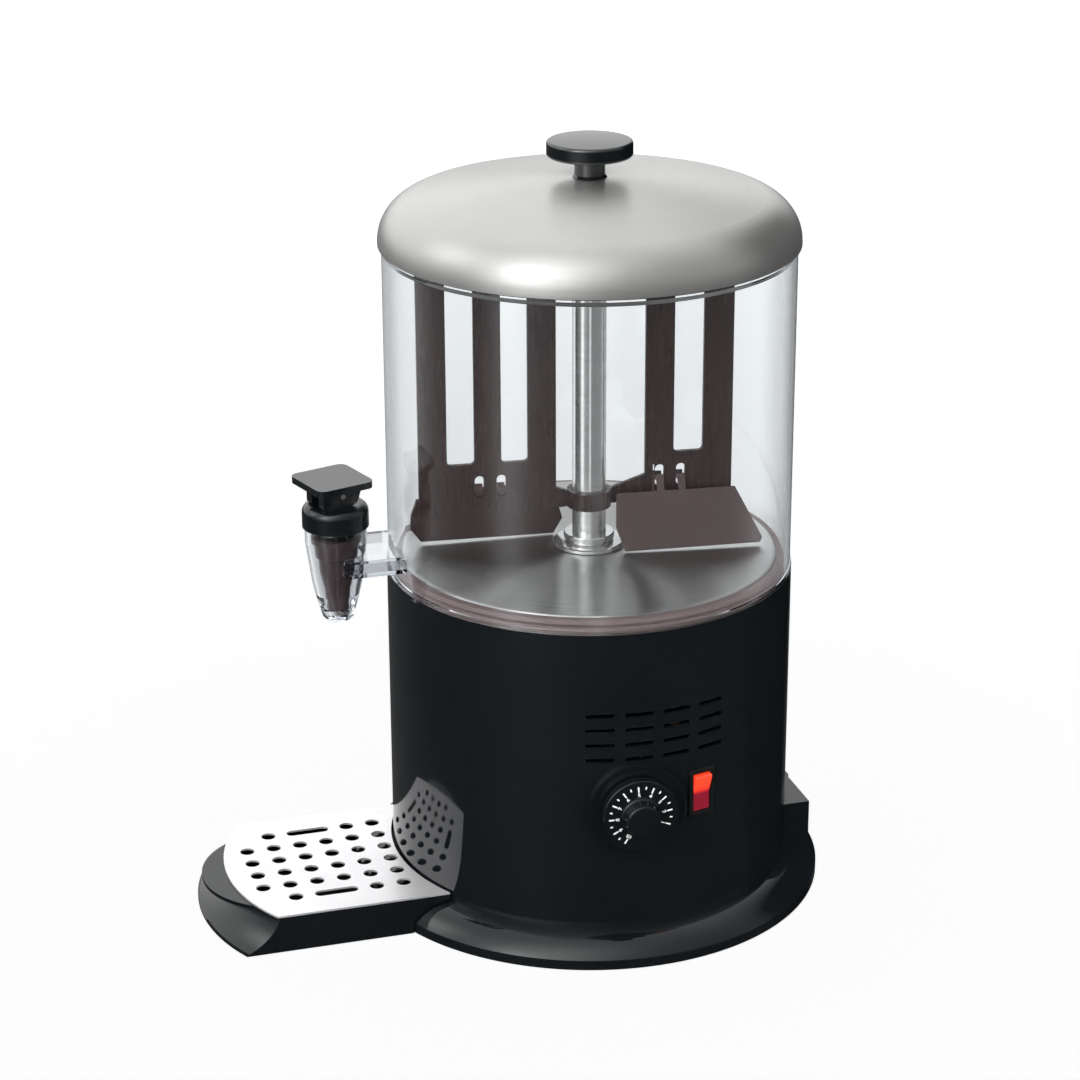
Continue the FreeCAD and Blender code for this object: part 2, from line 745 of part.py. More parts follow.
def involute_gear(teeth, face, floor, bore):
    """A spur gear from its involute flanks, one tooth along +X: no primitive makes these."""
    module = size.gear_module.number
    pressure = math.radians(25.0)
    backlash, flank_steps = 0.10, 5
    pitch = module * teeth / 2.0
    base = pitch * math.cos(pressure)
    tip = pitch + 0.8 * module
    root = pitch - 1.1 * module
    slack = backlash / pitch
    half_tooth = math.pi / (2.0 * teeth) - slack + math.tan(pressure) - pressure
    points = []
    for tooth in range(teeth):
        centre = 2.0 * math.pi * tooth / teeth
        flank = []
        for step in range(flank_steps + 1):
            radius = max(base, root) + (tip - max(base, root)) * step / flank_steps
            roll = math.acos(base / radius)
            flank.append((radius, half_tooth - (math.tan(roll) - roll)))
        side = [(root, flank[0][1] + 0.02)] + flank
        points += [(radius, centre - angle) for radius, angle in side]
        points += [(radius, centre + angle) for radius, angle in reversed(side)]
    corners = [Vector(radius * math.cos(angle), radius * math.sin(angle), floor) for radius, angle in points]
    blank = Part.Face(Part.makePolygon(corners + corners[:1])).extrude(Vector(0, 0, face))
    if bore:
        blank = blank.cut(Part.makeCylinder(bore, face + 2.0, Vector(0, 0, floor - 1.0)))
    return blank


def make_gears():
    """The output gear on the drive shaft and the rotor whose pinion turns it."""
    face, floor = size.gear_face.number, size.gear_floor.number
    gear = doc.addObject("Part::Feature", "output_gear")
    gear.Shape = involute_gear(int(size.gear_teeth.number), face, floor, size.shaft_radius.number)
    node(gear, "output_gear")

    core_floor = size.stack_floor.number
    shaft = Part.makeCylinder(size.rotor_shaft.number, 47.0, Vector(0, 0, core_floor - 3.0))
    core = Part.makeCylinder(size.rotor_radius.number, 24.0, Vector(0, 0, core_floor))
    pinion = involute_gear(int(size.pinion_teeth.number), face, floor, 0.0)
    rotor = doc.addObject("Part::Feature", "motor_rotor")
    rotor.Shape = pinion.fuse([shaft, core])
    rotor.Placement = Placement(Vector(0, motor_axis.number, 0), Rotation(UP, -90))
    node(rotor, "motor_rotor")


def make_gearbox():
    """The gearbox case, which runs on the drive shaft, and the cover under it."""
    floor, roof, wall = size.case_floor, size.case_roof, 3.0
    gear_room = gear_pitch + 2.4
    pinion_room = pinion_pitch + 2.4
    room_height = roof - floor - wall + 1.0
    low = (-gear_room - wall, -gear_room - wall)
    high = (gear_room + wall, motor_axis + pinion_room + wall)
    block = box("case_block", low + (floor,), high + (roof,))
    tools = [rod("case_gear_room", gear_room, room_height, 0, 0, floor - 1.0),
             rod("case_pinion_room", pinion_room, room_height, 0, motor_axis, floor - 1.0),
             rod("case_shaft_hole", size.shaft_radius + size.running_gap, 20.0, 0, 0, roof - 10.0)]
    node(cut("gearbox_case_cut", block, join("case_tools", tools)), "gearbox_case")
    plate = box("cover_block", low + (floor - 2.5,), high + (floor - 0.02,))
    holes = [rod("cover_shaft_hole", size.shaft_radius + size.running_gap, 20.0, 0, 0, floor - 10.0),
             rod("cover_rotor_hole", size.rotor_shaft + size.running_gap, 20.0, 0, motor_axis, floor - 10.0)]
    node(cut("gearbox_cover_cut", plate, join("cover_tools", holes)), "gearbox_cover")


def make_bracket():
    """The sheet bridge that carries the gearbox from the bottom plate, and its four screws."""
    half, sheet, half_depth = size.bracket_half, size.bracket_sheet, 24.0
    floor, roof = size.bottom_top + size.seat_gap, size.case_roof
    toe = 14.0
    top = box("bracket_top", (-half, -half_depth, roof + 0.02), (half, half_depth, roof + sheet))
    sheets = [top]
    for side, inner, outer, toe_end in (("left", sheet - half, -half, -half - toe),
                                        ("right", half - sheet, half, half + toe)):
        low, high = (outer, inner) if side == "left" else (inner, outer)
        sheets.append(box("bracket_leg_" + side, (low, -half_depth, floor),
                          (high, half_depth, roof + sheet)))
        low, high = (toe_end, inner) if side == "left" else (inner, toe_end)
        sheets.append(box("bracket_toe_" + side, (low, -half_depth, floor),
                          (high, half_depth, floor + sheet)))
    holes = [rod("bracket_shaft_hole", 6.0, 10.0, 0, 0, roof - 2.0)]
    screws = []
    for index, (x, y) in enumerate(bracket_holes()):
        holes.append(rod("bracket_hole_%d" % index, size.screw_radius, 6.0, x, y, floor - 2.0))
        head = rod("bracket_screw_head_%d" % index, 3.2, 1.8, x, y, floor + sheet + 0.02)
        shank = rod("bracket_screw_shank_%d" % index, size.screw_radius - 0.05, 3.6, x, y, floor - 1.8)
        screws.append(join("bracket_screw_%d" % index, [head, shank]))
    node(cut("motor_bracket_cut", join("bracket_joined", sheets), join("bracket_tools", holes)),
         "motor_bracket")
    node(group("bracket_screws_group", screws), "bracket_screws")


def make_motor():
    """The shaded-pole motor's laminated stack and the coil round its far leg."""
    floor, roof, leg = size.stack_floor, size.case_floor - 2.55, 12.0
    low_y, high_y = motor_axis - 20.0, motor_axis + 45.0
    block = box("stack_block", (-size.stack_half, low_y, floor), (size.stack_half, high_y, roof))
    bore = rod("stack_bore", size.rotor_radius + 0.4, 40.0, 0, motor_axis, floor - 5.0)
    window = box("stack_window", (-16.0, motor_axis + 19.0, floor - 5.0), (16.0, high_y - leg, roof + 5.0))
    node(cut("motor_stack_cut", block, join("stack_tools", [bore, window])), "motor_stack")
    winding = box("coil_block", (-15.0, motor_axis + 20.0, floor - 6.0), (15.0, high_y + 8.0, roof + 6.0))
    core = box("coil_core", (-16.0, high_y - leg, floor), (16.0, high_y, roof))
    node(cut("motor_coil_cut", winding, core), "motor_coil")


# ---------------------------------------------------------------- paddle and scrapers

def hook_places(side):
    """Where the scraper hooks sit along a wing: -1 for the long wing, +1 for the short one."""
    return [-65.5, -52.5] if side < 0 else [42.0, 55.0]


def make_paddle():
    """The paddle: slotted sheet wings joined over the column and by a guide ring low down.

    It is drawn along X, the long wing to -X, then turned about the column."""
    body = new_body("paddle")
    half = size.paddle_sheet / 2.0
    low, ring_top, slot_top = size.guide_floor, size.guide_top, size.paddle_slot_top
    sheet = new_sketch(body, "wings_outline", "XZ_Plane", offset=-half)
    outline(sheet, [
        (-size.long_wing, size.paddle_top), (size.short_wing, size.paddle_top), (size.short_wing, low + 2.0),
        (37.0, low + 2.0), (12.0, low + 0.6), (12.0, ring_top - 0.6), (33.2, ring_top + 6.8),
        (33.2, slot_top), (-20.0, slot_top), (-20.0, ring_top + 2.4), (-12.0, ring_top - 0.6),
        (-12.0, low + 0.6), (-20.0, low), (-size.long_wing, low)])
    pad(body, sheet, size.paddle_sheet)
    ring = new_sketch(body, "ring_outline", "XZ_Plane")
    rectangle(ring, size.column_radius + 0.35, low, 13.0, ring_top)
    spin(body, ring)
    hub = new_sketch(body, "hub_outline", "XZ_Plane")
    hub_floor = size.column_top + 1.2
    outline(hub, [(0.0, hub_floor), (11.0, hub_floor), (12.0, hub_floor + 1.0), (12.0, size.bowl_top),
                  (10.0, size.bowl_top + 2.0), (0.0, size.bowl_top + 2.0)])
    spin(body, hub)
    socket = new_sketch(body, "socket_outline", offset=size.column_top)
    half_square = size.shaft_square / 2.0 + size.seat_gap
    rectangle(socket, -half_square, -half_square, half_square, half_square)
    pocket(body, socket, size.shaft_top - size.column_top + 0.5, reverse=True)
    sweep = new_sketch(body, "tube_clearance", offset=size.column_top - 2.0)
    circle(sweep, 0.0, 0.0, size.shaft_radius + 0.4)
    pocket(body, sweep, 4.4, reverse=True)
    windows = new_sketch(body, "windows_outline", "XZ_Plane", offset=-10.0)
    for low_x, high_x in ((-84.4, -68.2), (-52.4, -36.7), (50.5, 68.2)):
        rounded_window(windows, low_x, 268.3, high_x, slot_top, 2.5)
    for x in hook_places(-1.0) + hook_places(1.0):
        slot(windows, x, 254.0, 6.8, 2.8, upright=True)
    pocket(body, windows, 20.0, reverse=True)
    node(place(body, turn=size.wing_turn), "paddle")


def make_scraper(name, side, corners):
    """A flat scraper hung from a wing by two hooks, leaning out over the plate.

    It is drawn upright along +X with its pivot on the X axis, then leaned, lifted and turned
    with its wing.  corners are (along the wing, below the pivot)."""
    thick, clear, catch_back = size.scraper_sheet, 1.0, 4.0
    body = new_body(name)
    blade = new_sketch(body, name + "_blade", "XZ_Plane", offset=clear)
    outline(blade, [(along, -below) for along, below in corners])
    pad(body, blade, thick)
    stems = new_sketch(body, name + "_stems", "XZ_Plane", offset=clear)
    tongues = new_sketch(body, name + "_tongues", "XZ_Plane", offset=-catch_back)
    catches = new_sketch(body, name + "_catches", "XZ_Plane", offset=-catch_back)
    half_width, half_height = 2.2, 1.2
    for x in hook_places(side):
        low_x, high_x = abs(x) - half_width, abs(x) + half_width
        rectangle(stems, low_x, -10.0, high_x, half_height)
        rectangle(tongues, low_x, -half_height, high_x, half_height)
        rectangle(catches, low_x, -half_height, high_x, 4.0)
    pad(body, stems, thick)
    pad(body, tongues, thick + clear + catch_back)
    pad(body, catches, 1.8)
    lean = Placement(NO_SHIFT, Rotation(OUTWARD, -size.scraper_lean.number))
    turn = size.wing_turn.number + (180.0 if side < 0 else 0.0)
    lift = Placement(Vector(0, 0, size.scraper_pivot.number), Rotation(UP, turn))
    body.Placement = lift.multiply(lean)
    node(body, name)


def make_scrapers():
    """The two blades: the long one nearly square-ended, the short one reaching out to the wall."""
    top, bottom = 8.5, 42.8
    make_scraper("long_scraper", -1.0, [
        (20.0, top), (102.0, top), (104.5, 20.0), (104.5, 32.0), (98.0, bottom), (18.0, bottom),
        (13.5, 30.0)])
    make_scraper("short_scraper", 1.0, [
        (15.4, top), (87.0, top), (101.0, bottom - 3.0), (99.5, bottom), (18.0, bottom), (13.5, 28.0)])


# ---------------------------------------------------------------- bowl

bowl_outer = size.bowl_radius - 0.5
bowl_inner = bowl_outer - size.bowl_wall


def tap_profile(gap):
    """Outside corners of the tap body about its own axis, moved outwards by a gap."""
    tip = size.tap_tip
    return [(7.0 + gap, tip), (9.0 + gap, tip + 2.0), (12.9 + gap, tip + 16.0), (14.6 + gap, tip + 24.0),
            (size.tap_radius + gap, tip + 48.5), (size.tap_radius + gap, size.tap_top)]


def tap_seat():
    """How high the conical seat starts inside the tap."""
    return size.tap_tip + 3.0


def make_bowl():
    """The clear bowl: an open tube with a foot bead, a thick rim and the outlet duct."""
    floor, top = size.base_top + size.seat_gap, size.bowl_top
    rim_inner = bowl_inner - 1.8
    tube = turned("bowl_tube", [
        (bowl_inner, floor), (size.bowl_radius, floor), (size.bowl_radius, floor + 2.6),
        (bowl_outer, floor + 3.2), (bowl_outer, top - 6.6), (size.bowl_radius, top - 6.0),
        (size.bowl_radius, top), (rim_inner, top), (rim_inner, top - 6.0), (bowl_inner, top - 8.0)])
    half, wall, inside = size.duct_half_width, size.duct_wall, -100.0
    channel = box("duct_outer", (-half, -size.tap_reach, size.duct_floor), (half, inside, size.duct_roof))
    room = rod("bowl_room", bowl_inner, 100.0, 0, 0, size.duct_floor - 40.0)
    passage = box("duct_inner", (wall - half, -size.tap_reach - 10.0, size.duct_floor + wall),
                  (half - wall, inside, size.duct_roof - wall))
    tap = turned("bowl_tap_tool", tap_profile(0.02) + [(0.0, size.tap_top), (0.0, size.tap_tip)])
    place(tap, 0.0, -size.tap_reach)
    beyond = box("duct_beyond_tap", (-half - 1.0, -size.tap_reach - 30.0, size.duct_floor - 1.0),
                 (half + 1.0, -size.tap_reach, size.duct_roof + 1.0))
    channel_only = cut("duct_channel", channel, join("duct_tools", [room, tap, beyond]))
    node(cut("bowl_cut", join("bowl_joined", [tube, channel_only]), passage), "bowl")


def make_tap_body():
    """The clear tap body: a tapering cup with a conical seat, fed from the duct."""
    seat = tap_seat()
    bore, spout = size.tap_radius - 2.0, 4.5
    outer = turned("tap_cup", tap_profile(0.0) + [
        (bore, size.tap_top), (bore, seat + 45.0), (12.6, seat + 21.0), (10.9, seat + 13.0),
        (7.6, seat + 5.0), (spout, seat), (spout, size.tap_tip)])
    place(outer, 0.0, -size.tap_reach)
    wall, port_half = size.duct_wall, 9.0
    port = box("tap_port", (-port_half, 12.0 - size.tap_reach, size.duct_floor + wall),
               (port_half, 30.0 - size.tap_reach, size.duct_roof - wall))
    node(cut("tap_body_cut", outer, port), "tap_body")


def make_tap_plunger():
    """The brown stepped plunger with its stem, its soft tip and the lever's pin."""
    seat, pin_radius, pin_half = tap_seat(), 1.5, 10.0
    stem_top = size.lever_pivot - 4.0
    body = turned("tap_plunger", [
        (0.0, seat + 4.6), (6.7, seat + 4.6), (7.2, seat + 15.0), (10.0, seat + 27.0), (10.5, seat + 36.0),
        (12.3, seat + 37.0), (12.8, seat + 45.5), (14.6, seat + 46.0), (14.6, seat + 49.0),
        (11.2, seat + 49.0), (10.8, seat + 38.5), (8.8, seat + 37.0), (8.3, seat + 30.0),
        (size.stem_radius, seat + 30.0), (size.stem_radius, stem_top), (0.0, stem_top)])
    head = new_sketch(body, "plunger_head", offset=stem_top - 0.5)
    rectangle(head, -2.8, -2.8, 2.8, 2.8)
    pad(body, head, 7.5)
    pin_hole = new_sketch(body, "plunger_pin_hole", "YZ_Plane", offset=-pin_half)
    circle(pin_hole, 0.0, size.lever_pivot, pin_radius)
    pocket(body, pin_hole, pin_half * 2.0, reverse=True)
    node(place(body, 0.0, -size.tap_reach, turn=size.lever_turn), "tap_plunger")

    seal = turned("tap_seal", [
        (0.0, seat + 1.2), (5.15, seat + 1.2), (7.15, seat + 4.55), (0.0, seat + 4.55)])
    node(place(seal, 0.0, -size.tap_reach), "tap_seal")

    turn = math.radians(size.lever_turn.number)
    across, along = math.cos(turn), math.sin(turn)
    pin = rod("lever_pin_rod", pin_radius, pin_half * 2.0, -pin_half * across,
              -size.tap_reach - along * pin_half, size.lever_pivot, Vector(across, along, 0))
    node(pin, "lever_pin")


def make_tap_bonnet():
    """The black cap over the tap body that guides the stem and holds the spring down."""
    skirt, top = size.bonnet_skirt, size.bonnet_top
    radius = size.bonnet_radius
    inner = size.tap_radius + size.seat_gap
    body = turned("tap_bonnet", [
        (radius - 0.4, skirt), (radius, skirt + 0.4), (radius, top - 5.0, 5.0), (radius - 5.0, top),
        (size.stem_radius + 0.1, top), (size.stem_radius + 0.1, top - 4.0), (13.0, top - 4.0),
        (15.8, top - 6.5), (15.8, size.tap_top + size.seat_gap), (inner, size.tap_top + size.seat_gap),
        (inner, skirt)])
    node(place(body, 0.0, -size.tap_reach), "tap_bonnet")


def make_tap_spring():
    """The coil spring between the plunger and the bonnet.

    Every half turn of the wire is half a torus, tilted so that it runs on from the one before.
    The first and the last lie flat."""
    half_turns = 12
    low = tap_seat() + 30.1 + size.spring_wire
    high = size.bonnet_top - 4.1 - size.spring_wire
    climbing = half_turns - 2
    rise = (high - low) / climbing
    long_radius = (size.spring_radius * size.spring_radius + rise * rise / 4.0).root()
    tilt = math.degrees(math.atan2(rise.number / 2.0, size.spring_radius.number))
    halves = []
    for index in range(half_turns):
        flat = index in (0, half_turns - 1)
        half = doc.addObject("Part::Torus", "spring_half_turn")
        bind(half, "Radius1", size.spring_radius if flat else long_radius)
        bind(half, "Radius2", size.spring_wire)
        half.Angle3 = 180.0
        climb = Rotation(Vector(0, 1, 0), 0.0 if flat else tilt)
        half.Placement = Placement(NO_SHIFT, Rotation(UP, 180.0 * index) * climb)
        bind(half, "Placement.Base.z", low + rise * min(max(index - 0.5, 0.0), climbing))
        halves.append(half)
    node(place(join("tap_spring", halves), 0.0, -size.tap_reach), "tap_spring")


def make_tap_lever():
    """The lever: a square thumb plate over two cheeks whose flat feet press on the bonnet.

    Tilting it by 30 degrees rolls the cheeks onto their front corners and lifts the plunger."""
    body = new_body("tap_lever")
    plate = new_sketch(body, "lever_plate", offset=size.lever_top - size.lever_plate)
    rounded_window(plate, -18.5, -19.5, 18.5, 16.5, 5.0)
    pad(body, plate, size.lever_plate)
    foot, top = size.lever_pivot - 6.35, size.lever_top - 2.0
    outer, inner = 10.2, 4.0
    for cheek, start in (("left", -outer), ("right", inner)):
        side = new_sketch(body, "lever_cheek_" + cheek, "YZ_Plane", offset=start)
        outline(side, [(-12.8, foot + 1.5, 1.5), (-11.3, foot), (5.0, foot, 6.0), (10.5, foot + 5.0),
                       (13.2, top), (-12.8, top)])
        pad(body, side, outer - inner)
    pin_hole = new_sketch(body, "lever_pin_hole", "YZ_Plane", offset=-12.0)
    circle(pin_hole, 0.0, size.lever_pivot, 1.5 + size.running_gap)
    pocket(body, pin_hole, 24.0, reverse=True)
    node(place(body, 0.0, -size.tap_reach, turn=size.lever_turn), "tap_lever")


# ---------------------------------------------------------------- lid

def make_lid_shell():
    """The spun dome: a short skirt, a round shoulder and a shallow crown, with a hole for the knob.

    The crown's radius follows from meeting the shoulder smoothly."""
    def dome(inset):
        shoulder = size.lid_shoulder - inset
        centre_x = size.lid_radius - size.lid_shoulder
        centre_z = size.lid_rim + size.lid_skirt
        drop = size.lid_apex - centre_z
        crown = (centre_x * centre_x + drop * drop - size.lid_shoulder * size.lid_shoulder) / (
            (drop - size.lid_shoulder) * 2.0)
        reach = crown - size.lid_shoulder
        meet_x = centre_x + shoulder * centre_x / reach
        meet_z = centre_z + shoulder * (centre_z - size.lid_apex + crown) / reach
        top = size.lid_apex - inset
        inner_crown = crown - inset
        hole = as_size(2.7)
        hole_z = top - inner_crown + (inner_crown * inner_crown - hole * hole).root()
        return centre_x + shoulder, centre_z, shoulder, meet_x, meet_z, inner_crown, hole, hole_z

    edge, skirt, shoulder, meet_x, meet_z, crown, hole, hole_z = dome(as_size(0.0))
    in_edge, in_skirt, in_shoulder, in_x, in_z, in_crown, in_hole, in_hole_z = dome(size.lid_sheet)
    node(turned("lid_shell", [
        (edge, size.lid_rim), (edge, skirt, shoulder), (meet_x, meet_z, crown), (hole, hole_z),
        (in_hole, in_hole_z, -in_crown), (in_x, in_z, -in_shoulder), (in_edge, in_skirt),
        (in_edge, size.lid_rim)]), "lid_shell")


def make_lid_seal():
    """The dark ring inside the lid that sits on the bowl's rim and shows as a thin line below it."""
    outer = size.lid_radius - size.lid_sheet - 0.35
    lip = size.bowl_radius + 0.1
    node(turned("lid_seal", [
        (outer, size.lid_rim - 0.7), (outer, size.bowl_top + 1.6), (outer - 0.6, size.bowl_top + 2.2),
        (bowl_inner - 3.0, size.bowl_top + 2.2), (bowl_inner - 3.0, size.bowl_top + size.seat_gap),
        (lip, size.bowl_top + size.seat_gap), (lip, size.lid_rim - 0.7)]), "lid_seal")


def make_lid_knob():
    """The flat round knob on its stem, and the screw that holds it through the lid."""
    under = size.knob_top - size.knob_thick
    foot = size.lid_apex + 0.02
    stem, edge, screw = size.knob_stem, size.knob_radius, 2.5
    round_top, round_under, fillet = 1.8, 1.5, 2.0
    crown_reach, crown_rise = edge - round_top, 0.6
    crown = (crown_reach * crown_reach + crown_rise * crown_rise) / (2.0 * crown_rise)
    shoulder = size.knob_top - crown_rise
    blind = foot + 14.0
    body = turned("lid_knob", [
        (screw + 0.02, foot), (stem + 1.2, foot), (stem, foot + 1.6), (stem, under - fillet, -fillet),
        (stem + fillet, under), (edge - round_under, under, round_under), (edge, under + round_under),
        (edge, shoulder - round_top, round_top), (crown_reach, shoulder, crown), (0.0, size.knob_top),
        (0.0, blind), (screw + 0.02, blind)])
    node(body, "lid_knob")
    head = size.lid_apex - size.lid_sheet - 0.1
    node(turned("knob_screw", [
        (0.0, head - 2.4), (3.4, head - 2.4), (4.6, head), (screw, head), (screw, head + 12.0),
        (0.0, head + 12.0)]), "knob_screw")


# ---------------------------------------------------------------- drip tray

def plan_arc(radius, centre, half_width):
    """How far forward (negative Y) an arc about (0, -centre) stands at a half width."""
    return -(as_size(centre) + (radius * radius - half_width * half_width).root())


def make_drip_tray():
    """The black tray: flared at its front foot, scooped under the thumb lip, notched over the base."""
    body = new_body("drip_tray")
    half, floor, top = size.tray_half_width, size.tray_floor, size.tray_top
    front = plan_arc(size.tray_arc, size.tray_arc_centre, half)
    plan = new_sketch(body, "tray_plan", offset=floor)
    outline(plan, [(-half, front, size.tray_arc), (half, front), (half, -100.0), (-half, -100.0)])
    pad(body, plan, top - floor)

    scoop = new_sketch(body, "scoop_outline", "YZ_Plane", shift=-size.tray_arc_centre)
    outline(scoop, [(-size.tray_arc + 1.0, floor + 1.6, 32.0), (-size.scoop_top, top), (-160.0, top + 1.0),
                    (-160.0, floor + 1.6)])
    spin(body, scoop, "PartDesign::Groove")

    basin = new_sketch(body, "basin_plan", offset=floor + 3.0)
    inner_half = half - size.tray_wall
    inner_arc = size.scoop_top - 6.0
    basin_front = plan_arc(inner_arc, size.tray_arc_centre, inner_half)
    inner_end = size.foot_radius + 3.6
    basin_back = -(inner_end * inner_end - inner_half * inner_half).root()
    outline(basin, [(-inner_half, basin_front, inner_arc), (inner_half, basin_front),
                    (inner_half, basin_back, -inner_end), (-inner_half, basin_back)])
    pocket(body, basin, 60.0, reverse=True)

    ledge = new_sketch(body, "ledge_plan", offset=top - 3.0)
    near_end = size.grid_inner + 3.0
    near_back = -(near_end * near_end - inner_half * inner_half).root()
    outline(ledge, [(-inner_half, -150.0), (inner_half, -150.0), (inner_half, near_back, -near_end),
                    (-inner_half, near_back)])
    pocket(body, ledge, 60.0, reverse=True)

    notch = new_sketch(body, "notch_outline", "XZ_Plane")
    gap = 0.8
    outside, above = size.foot_radius + gap, 60.0
    outline(notch, [(outside, 0.0), (outside, foot_top + gap, size.flare_radius),
                    (size.grid_inner, flare_top + gap), (size.grid_inner, above), (0.0, above), (0.0, 0.0)])
    spin(body, notch, "PartDesign::Groove")

    lip = new_sketch(body, "lip_plan", offset=top - 2.6)
    lip_half, lip_arc = 43.0, 50.5
    lip_back, lip_centre = -212.0, 189.5
    lip_front = plan_arc(as_size(lip_arc), lip_centre, as_size(lip_half))
    outline(lip, [(-lip_half, lip_front, lip_arc), (0.0, -lip_centre - lip_arc, lip_arc),
                  (lip_half, lip_front), (lip_half, lip_back), (-lip_half, lip_back)])
    pad(body, lip, 2.4)
    basin_again = new_sketch(body, "lip_trim_plan", offset=floor + 3.0)
    outline(basin_again, [(-inner_half, basin_front, inner_arc), (inner_half, basin_front),
                          (inner_half, -160.0), (-inner_half, -160.0)])
    pocket(body, basin_again, 60.0, reverse=True)
    node(body, "drip_tray")


def make_drip_grid():
    """The perforated steel plate that lies on the tray, held sideways by two folded strips."""
    body = new_body("drip_grid")
    half, top = size.tray_half_width, size.tray_top
    plan = new_sketch(body, "grid_plan", offset=top + 0.02)
    arc = size.scoop_top + 1.0
    front = plan_arc(arc, size.tray_arc_centre, half)
    back = -(size.grid_inner * size.grid_inner - half * half).root()
    outline(plan, [(-half, front, arc), (half, front), (half, back, -size.grid_inner), (-half, back)])
    pad(body, plan, size.grid_sheet)
    holes = new_sketch(body, "grid_holes", offset=top - 1.0)
    rows = columns = 6
    for column in range(columns):
        x = size.grid_pitch * (column - (columns - 1) / 2.0)
        outer = column in (0, columns - 1)
        for row in range(rows):
            if outer and row in (2, 3, 5):
                continue
            circle(holes, x, -size.grid_first_row - size.grid_pitch * row, size.grid_hole)
        if outer:
            slot(holes, x, -size.grid_first_row - size.grid_pitch * 2.5, 13.0, 3.4, upright=True)
    pocket(body, holes, 5.0, reverse=True)
    drop = 3.0
    strips = new_sketch(body, "grid_strips", offset=top + 0.1 - drop)
    outer_side = half - size.tray_wall - 0.3
    inner_side = outer_side - size.grid_sheet
    for low, high in ((-outer_side, -inner_side), (inner_side, outer_side)):
        rectangle(strips, low, -195.0, high, -150.0)
    pad(body, strips, drop)
    node(body, "drip_grid")


# ---------------------------------------------------------------- controls

switch_wall = 1.2


def make_dial():
    """The round bezel pad on the shell and the dial knob that turns in front of it."""
    height, inside = size.dial_height, 100.0
    pad_disc = rod("bezel_disc", size.bezel_radius, size.bezel_face - inside, inside, 0.0, height, OUTWARD)
    barrel = rod("bezel_barrel", size.base_radius + size.seat_gap, size.base_top)
    dish = rod("bezel_dish", size.bezel_radius - 2.2, 10.0, size.bezel_face - 1.0, 0.0, height, OUTWARD)
    hole = rod("bezel_hole", spindle_hole, 60.0, inside - 10.0, 0.0, height, OUTWARD)
    bezel = cut("bezel_cut", pad_disc, join("bezel_tools", [barrel, dish, hole]))
    node(place(bezel, turn=size.dial_turn), "dial_bezel")

    edge, stem = size.dial_radius, size.thermostat_stem
    knob = turned("dial_knob", [
        (stem, 0.0), (edge - 0.6, 0.0), (edge, 0.6), (edge, 5.0, 1.6), (edge - 1.6, 6.6), (11.8, 7.2),
        (10.6, 8.0), (9.6, 13.6, 1.4), (8.2, 15.0), (0.0, 15.4), (0.0, 9.0), (stem, 9.0)])
    face_out = Rotation(Vector(0, 1, 0), 90)
    on_shell = Placement(Vector(size.bezel_face.number + 0.3, 0, height.number), face_out)
    knob.Placement = Placement(NO_SHIFT, Rotation(UP, size.dial_turn.number)).multiply(on_shell)
    node(knob, "dial_knob")


def make_switch_body():
    """The switch's case with its frame on the shell and three blades behind."""
    half_y, half_z, height = size.rocker_half_width, size.rocker_half_height, size.rocker_height
    border, gap = 1.6, size.seat_gap
    face = size.base_radius + 1.4
    frame = box("switch_frame", (114.0, -half_y - border, height - half_z - border),
                (face, half_y + border, height + half_z + border))
    barrel = rod("switch_barrel", size.base_radius + gap, size.base_top)
    rim = cut("switch_rim", frame, barrel)
    case = box("switch_case", (98.0, gap - half_y, height - half_z + gap),
               (face, half_y - gap, height + half_z - gap))
    room = box("switch_room", (108.0, switch_wall - half_y, height - half_z + switch_wall),
               (face + 1.0, half_y - switch_wall, height + half_z - switch_wall))
    blades = [box("switch_blade_%d" % index, (90.0, -3.0, z - 0.4), (99.0, 3.0, z + 0.4))
              for index, z in enumerate((height - 8.0, height, height + 8.0))]
    body = cut("switch_cut", join("switch_joined", [rim, case] + blades), room)
    node(place(body, turn=size.rocker_turn), "switch_body")


def make_rocker():
    """The lit rocker button that tips in the switch's case, drawn at its pressed upper end."""
    button = new_body("rocker_button")
    half_width = size.rocker_half_width - switch_wall - 0.15
    reach = size.rocker_half_height - 1.8
    side = new_sketch(button, "rocker_profile", "XZ_Plane", offset=-half_width)
    outline(side, [(-5.0, -3.0), (-1.0, -reach), (3.0, -reach), (4.2, 0.6 - reach), (2.6, 0.0),
                   (4.2, reach - 0.6), (3.0, reach), (-1.0, reach), (-5.0, 3.0)])
    pad(button, side, half_width * 2.0)
    tilt = Placement(Vector(size.base_radius.number - 2.0, 0, size.rocker_height.number),
                     Rotation(Vector(0, 1, 0), size.rocker_tilt.number))
    button.Placement = Placement(NO_SHIFT, Rotation(UP, size.rocker_turn.number)).multiply(tilt)
    node(button, "rocker_button")


def make_terminal_block():
    """The terminal block on the bottom plate, with six screw wells."""
    ways, pitch, first = 6, 6.4, 38.0
    middle, half, top = -76.0, 8.0, 22.0
    block = box("terminal_block_box", (middle - half, first - 4.0, size.bottom_top + 0.01),
                (middle + half, first + pitch * ways - 2.4, top))
    wells = [rod("terminal_well_%d" % index, 2.2, 10.0, middle, first + pitch * index, top - 6.0)
             for index in range(ways)]
    node(cut("terminal_block_cut", block, join("terminal_wells", wells)), "terminal_block")


# ---------------------------------------------------------------- assembly

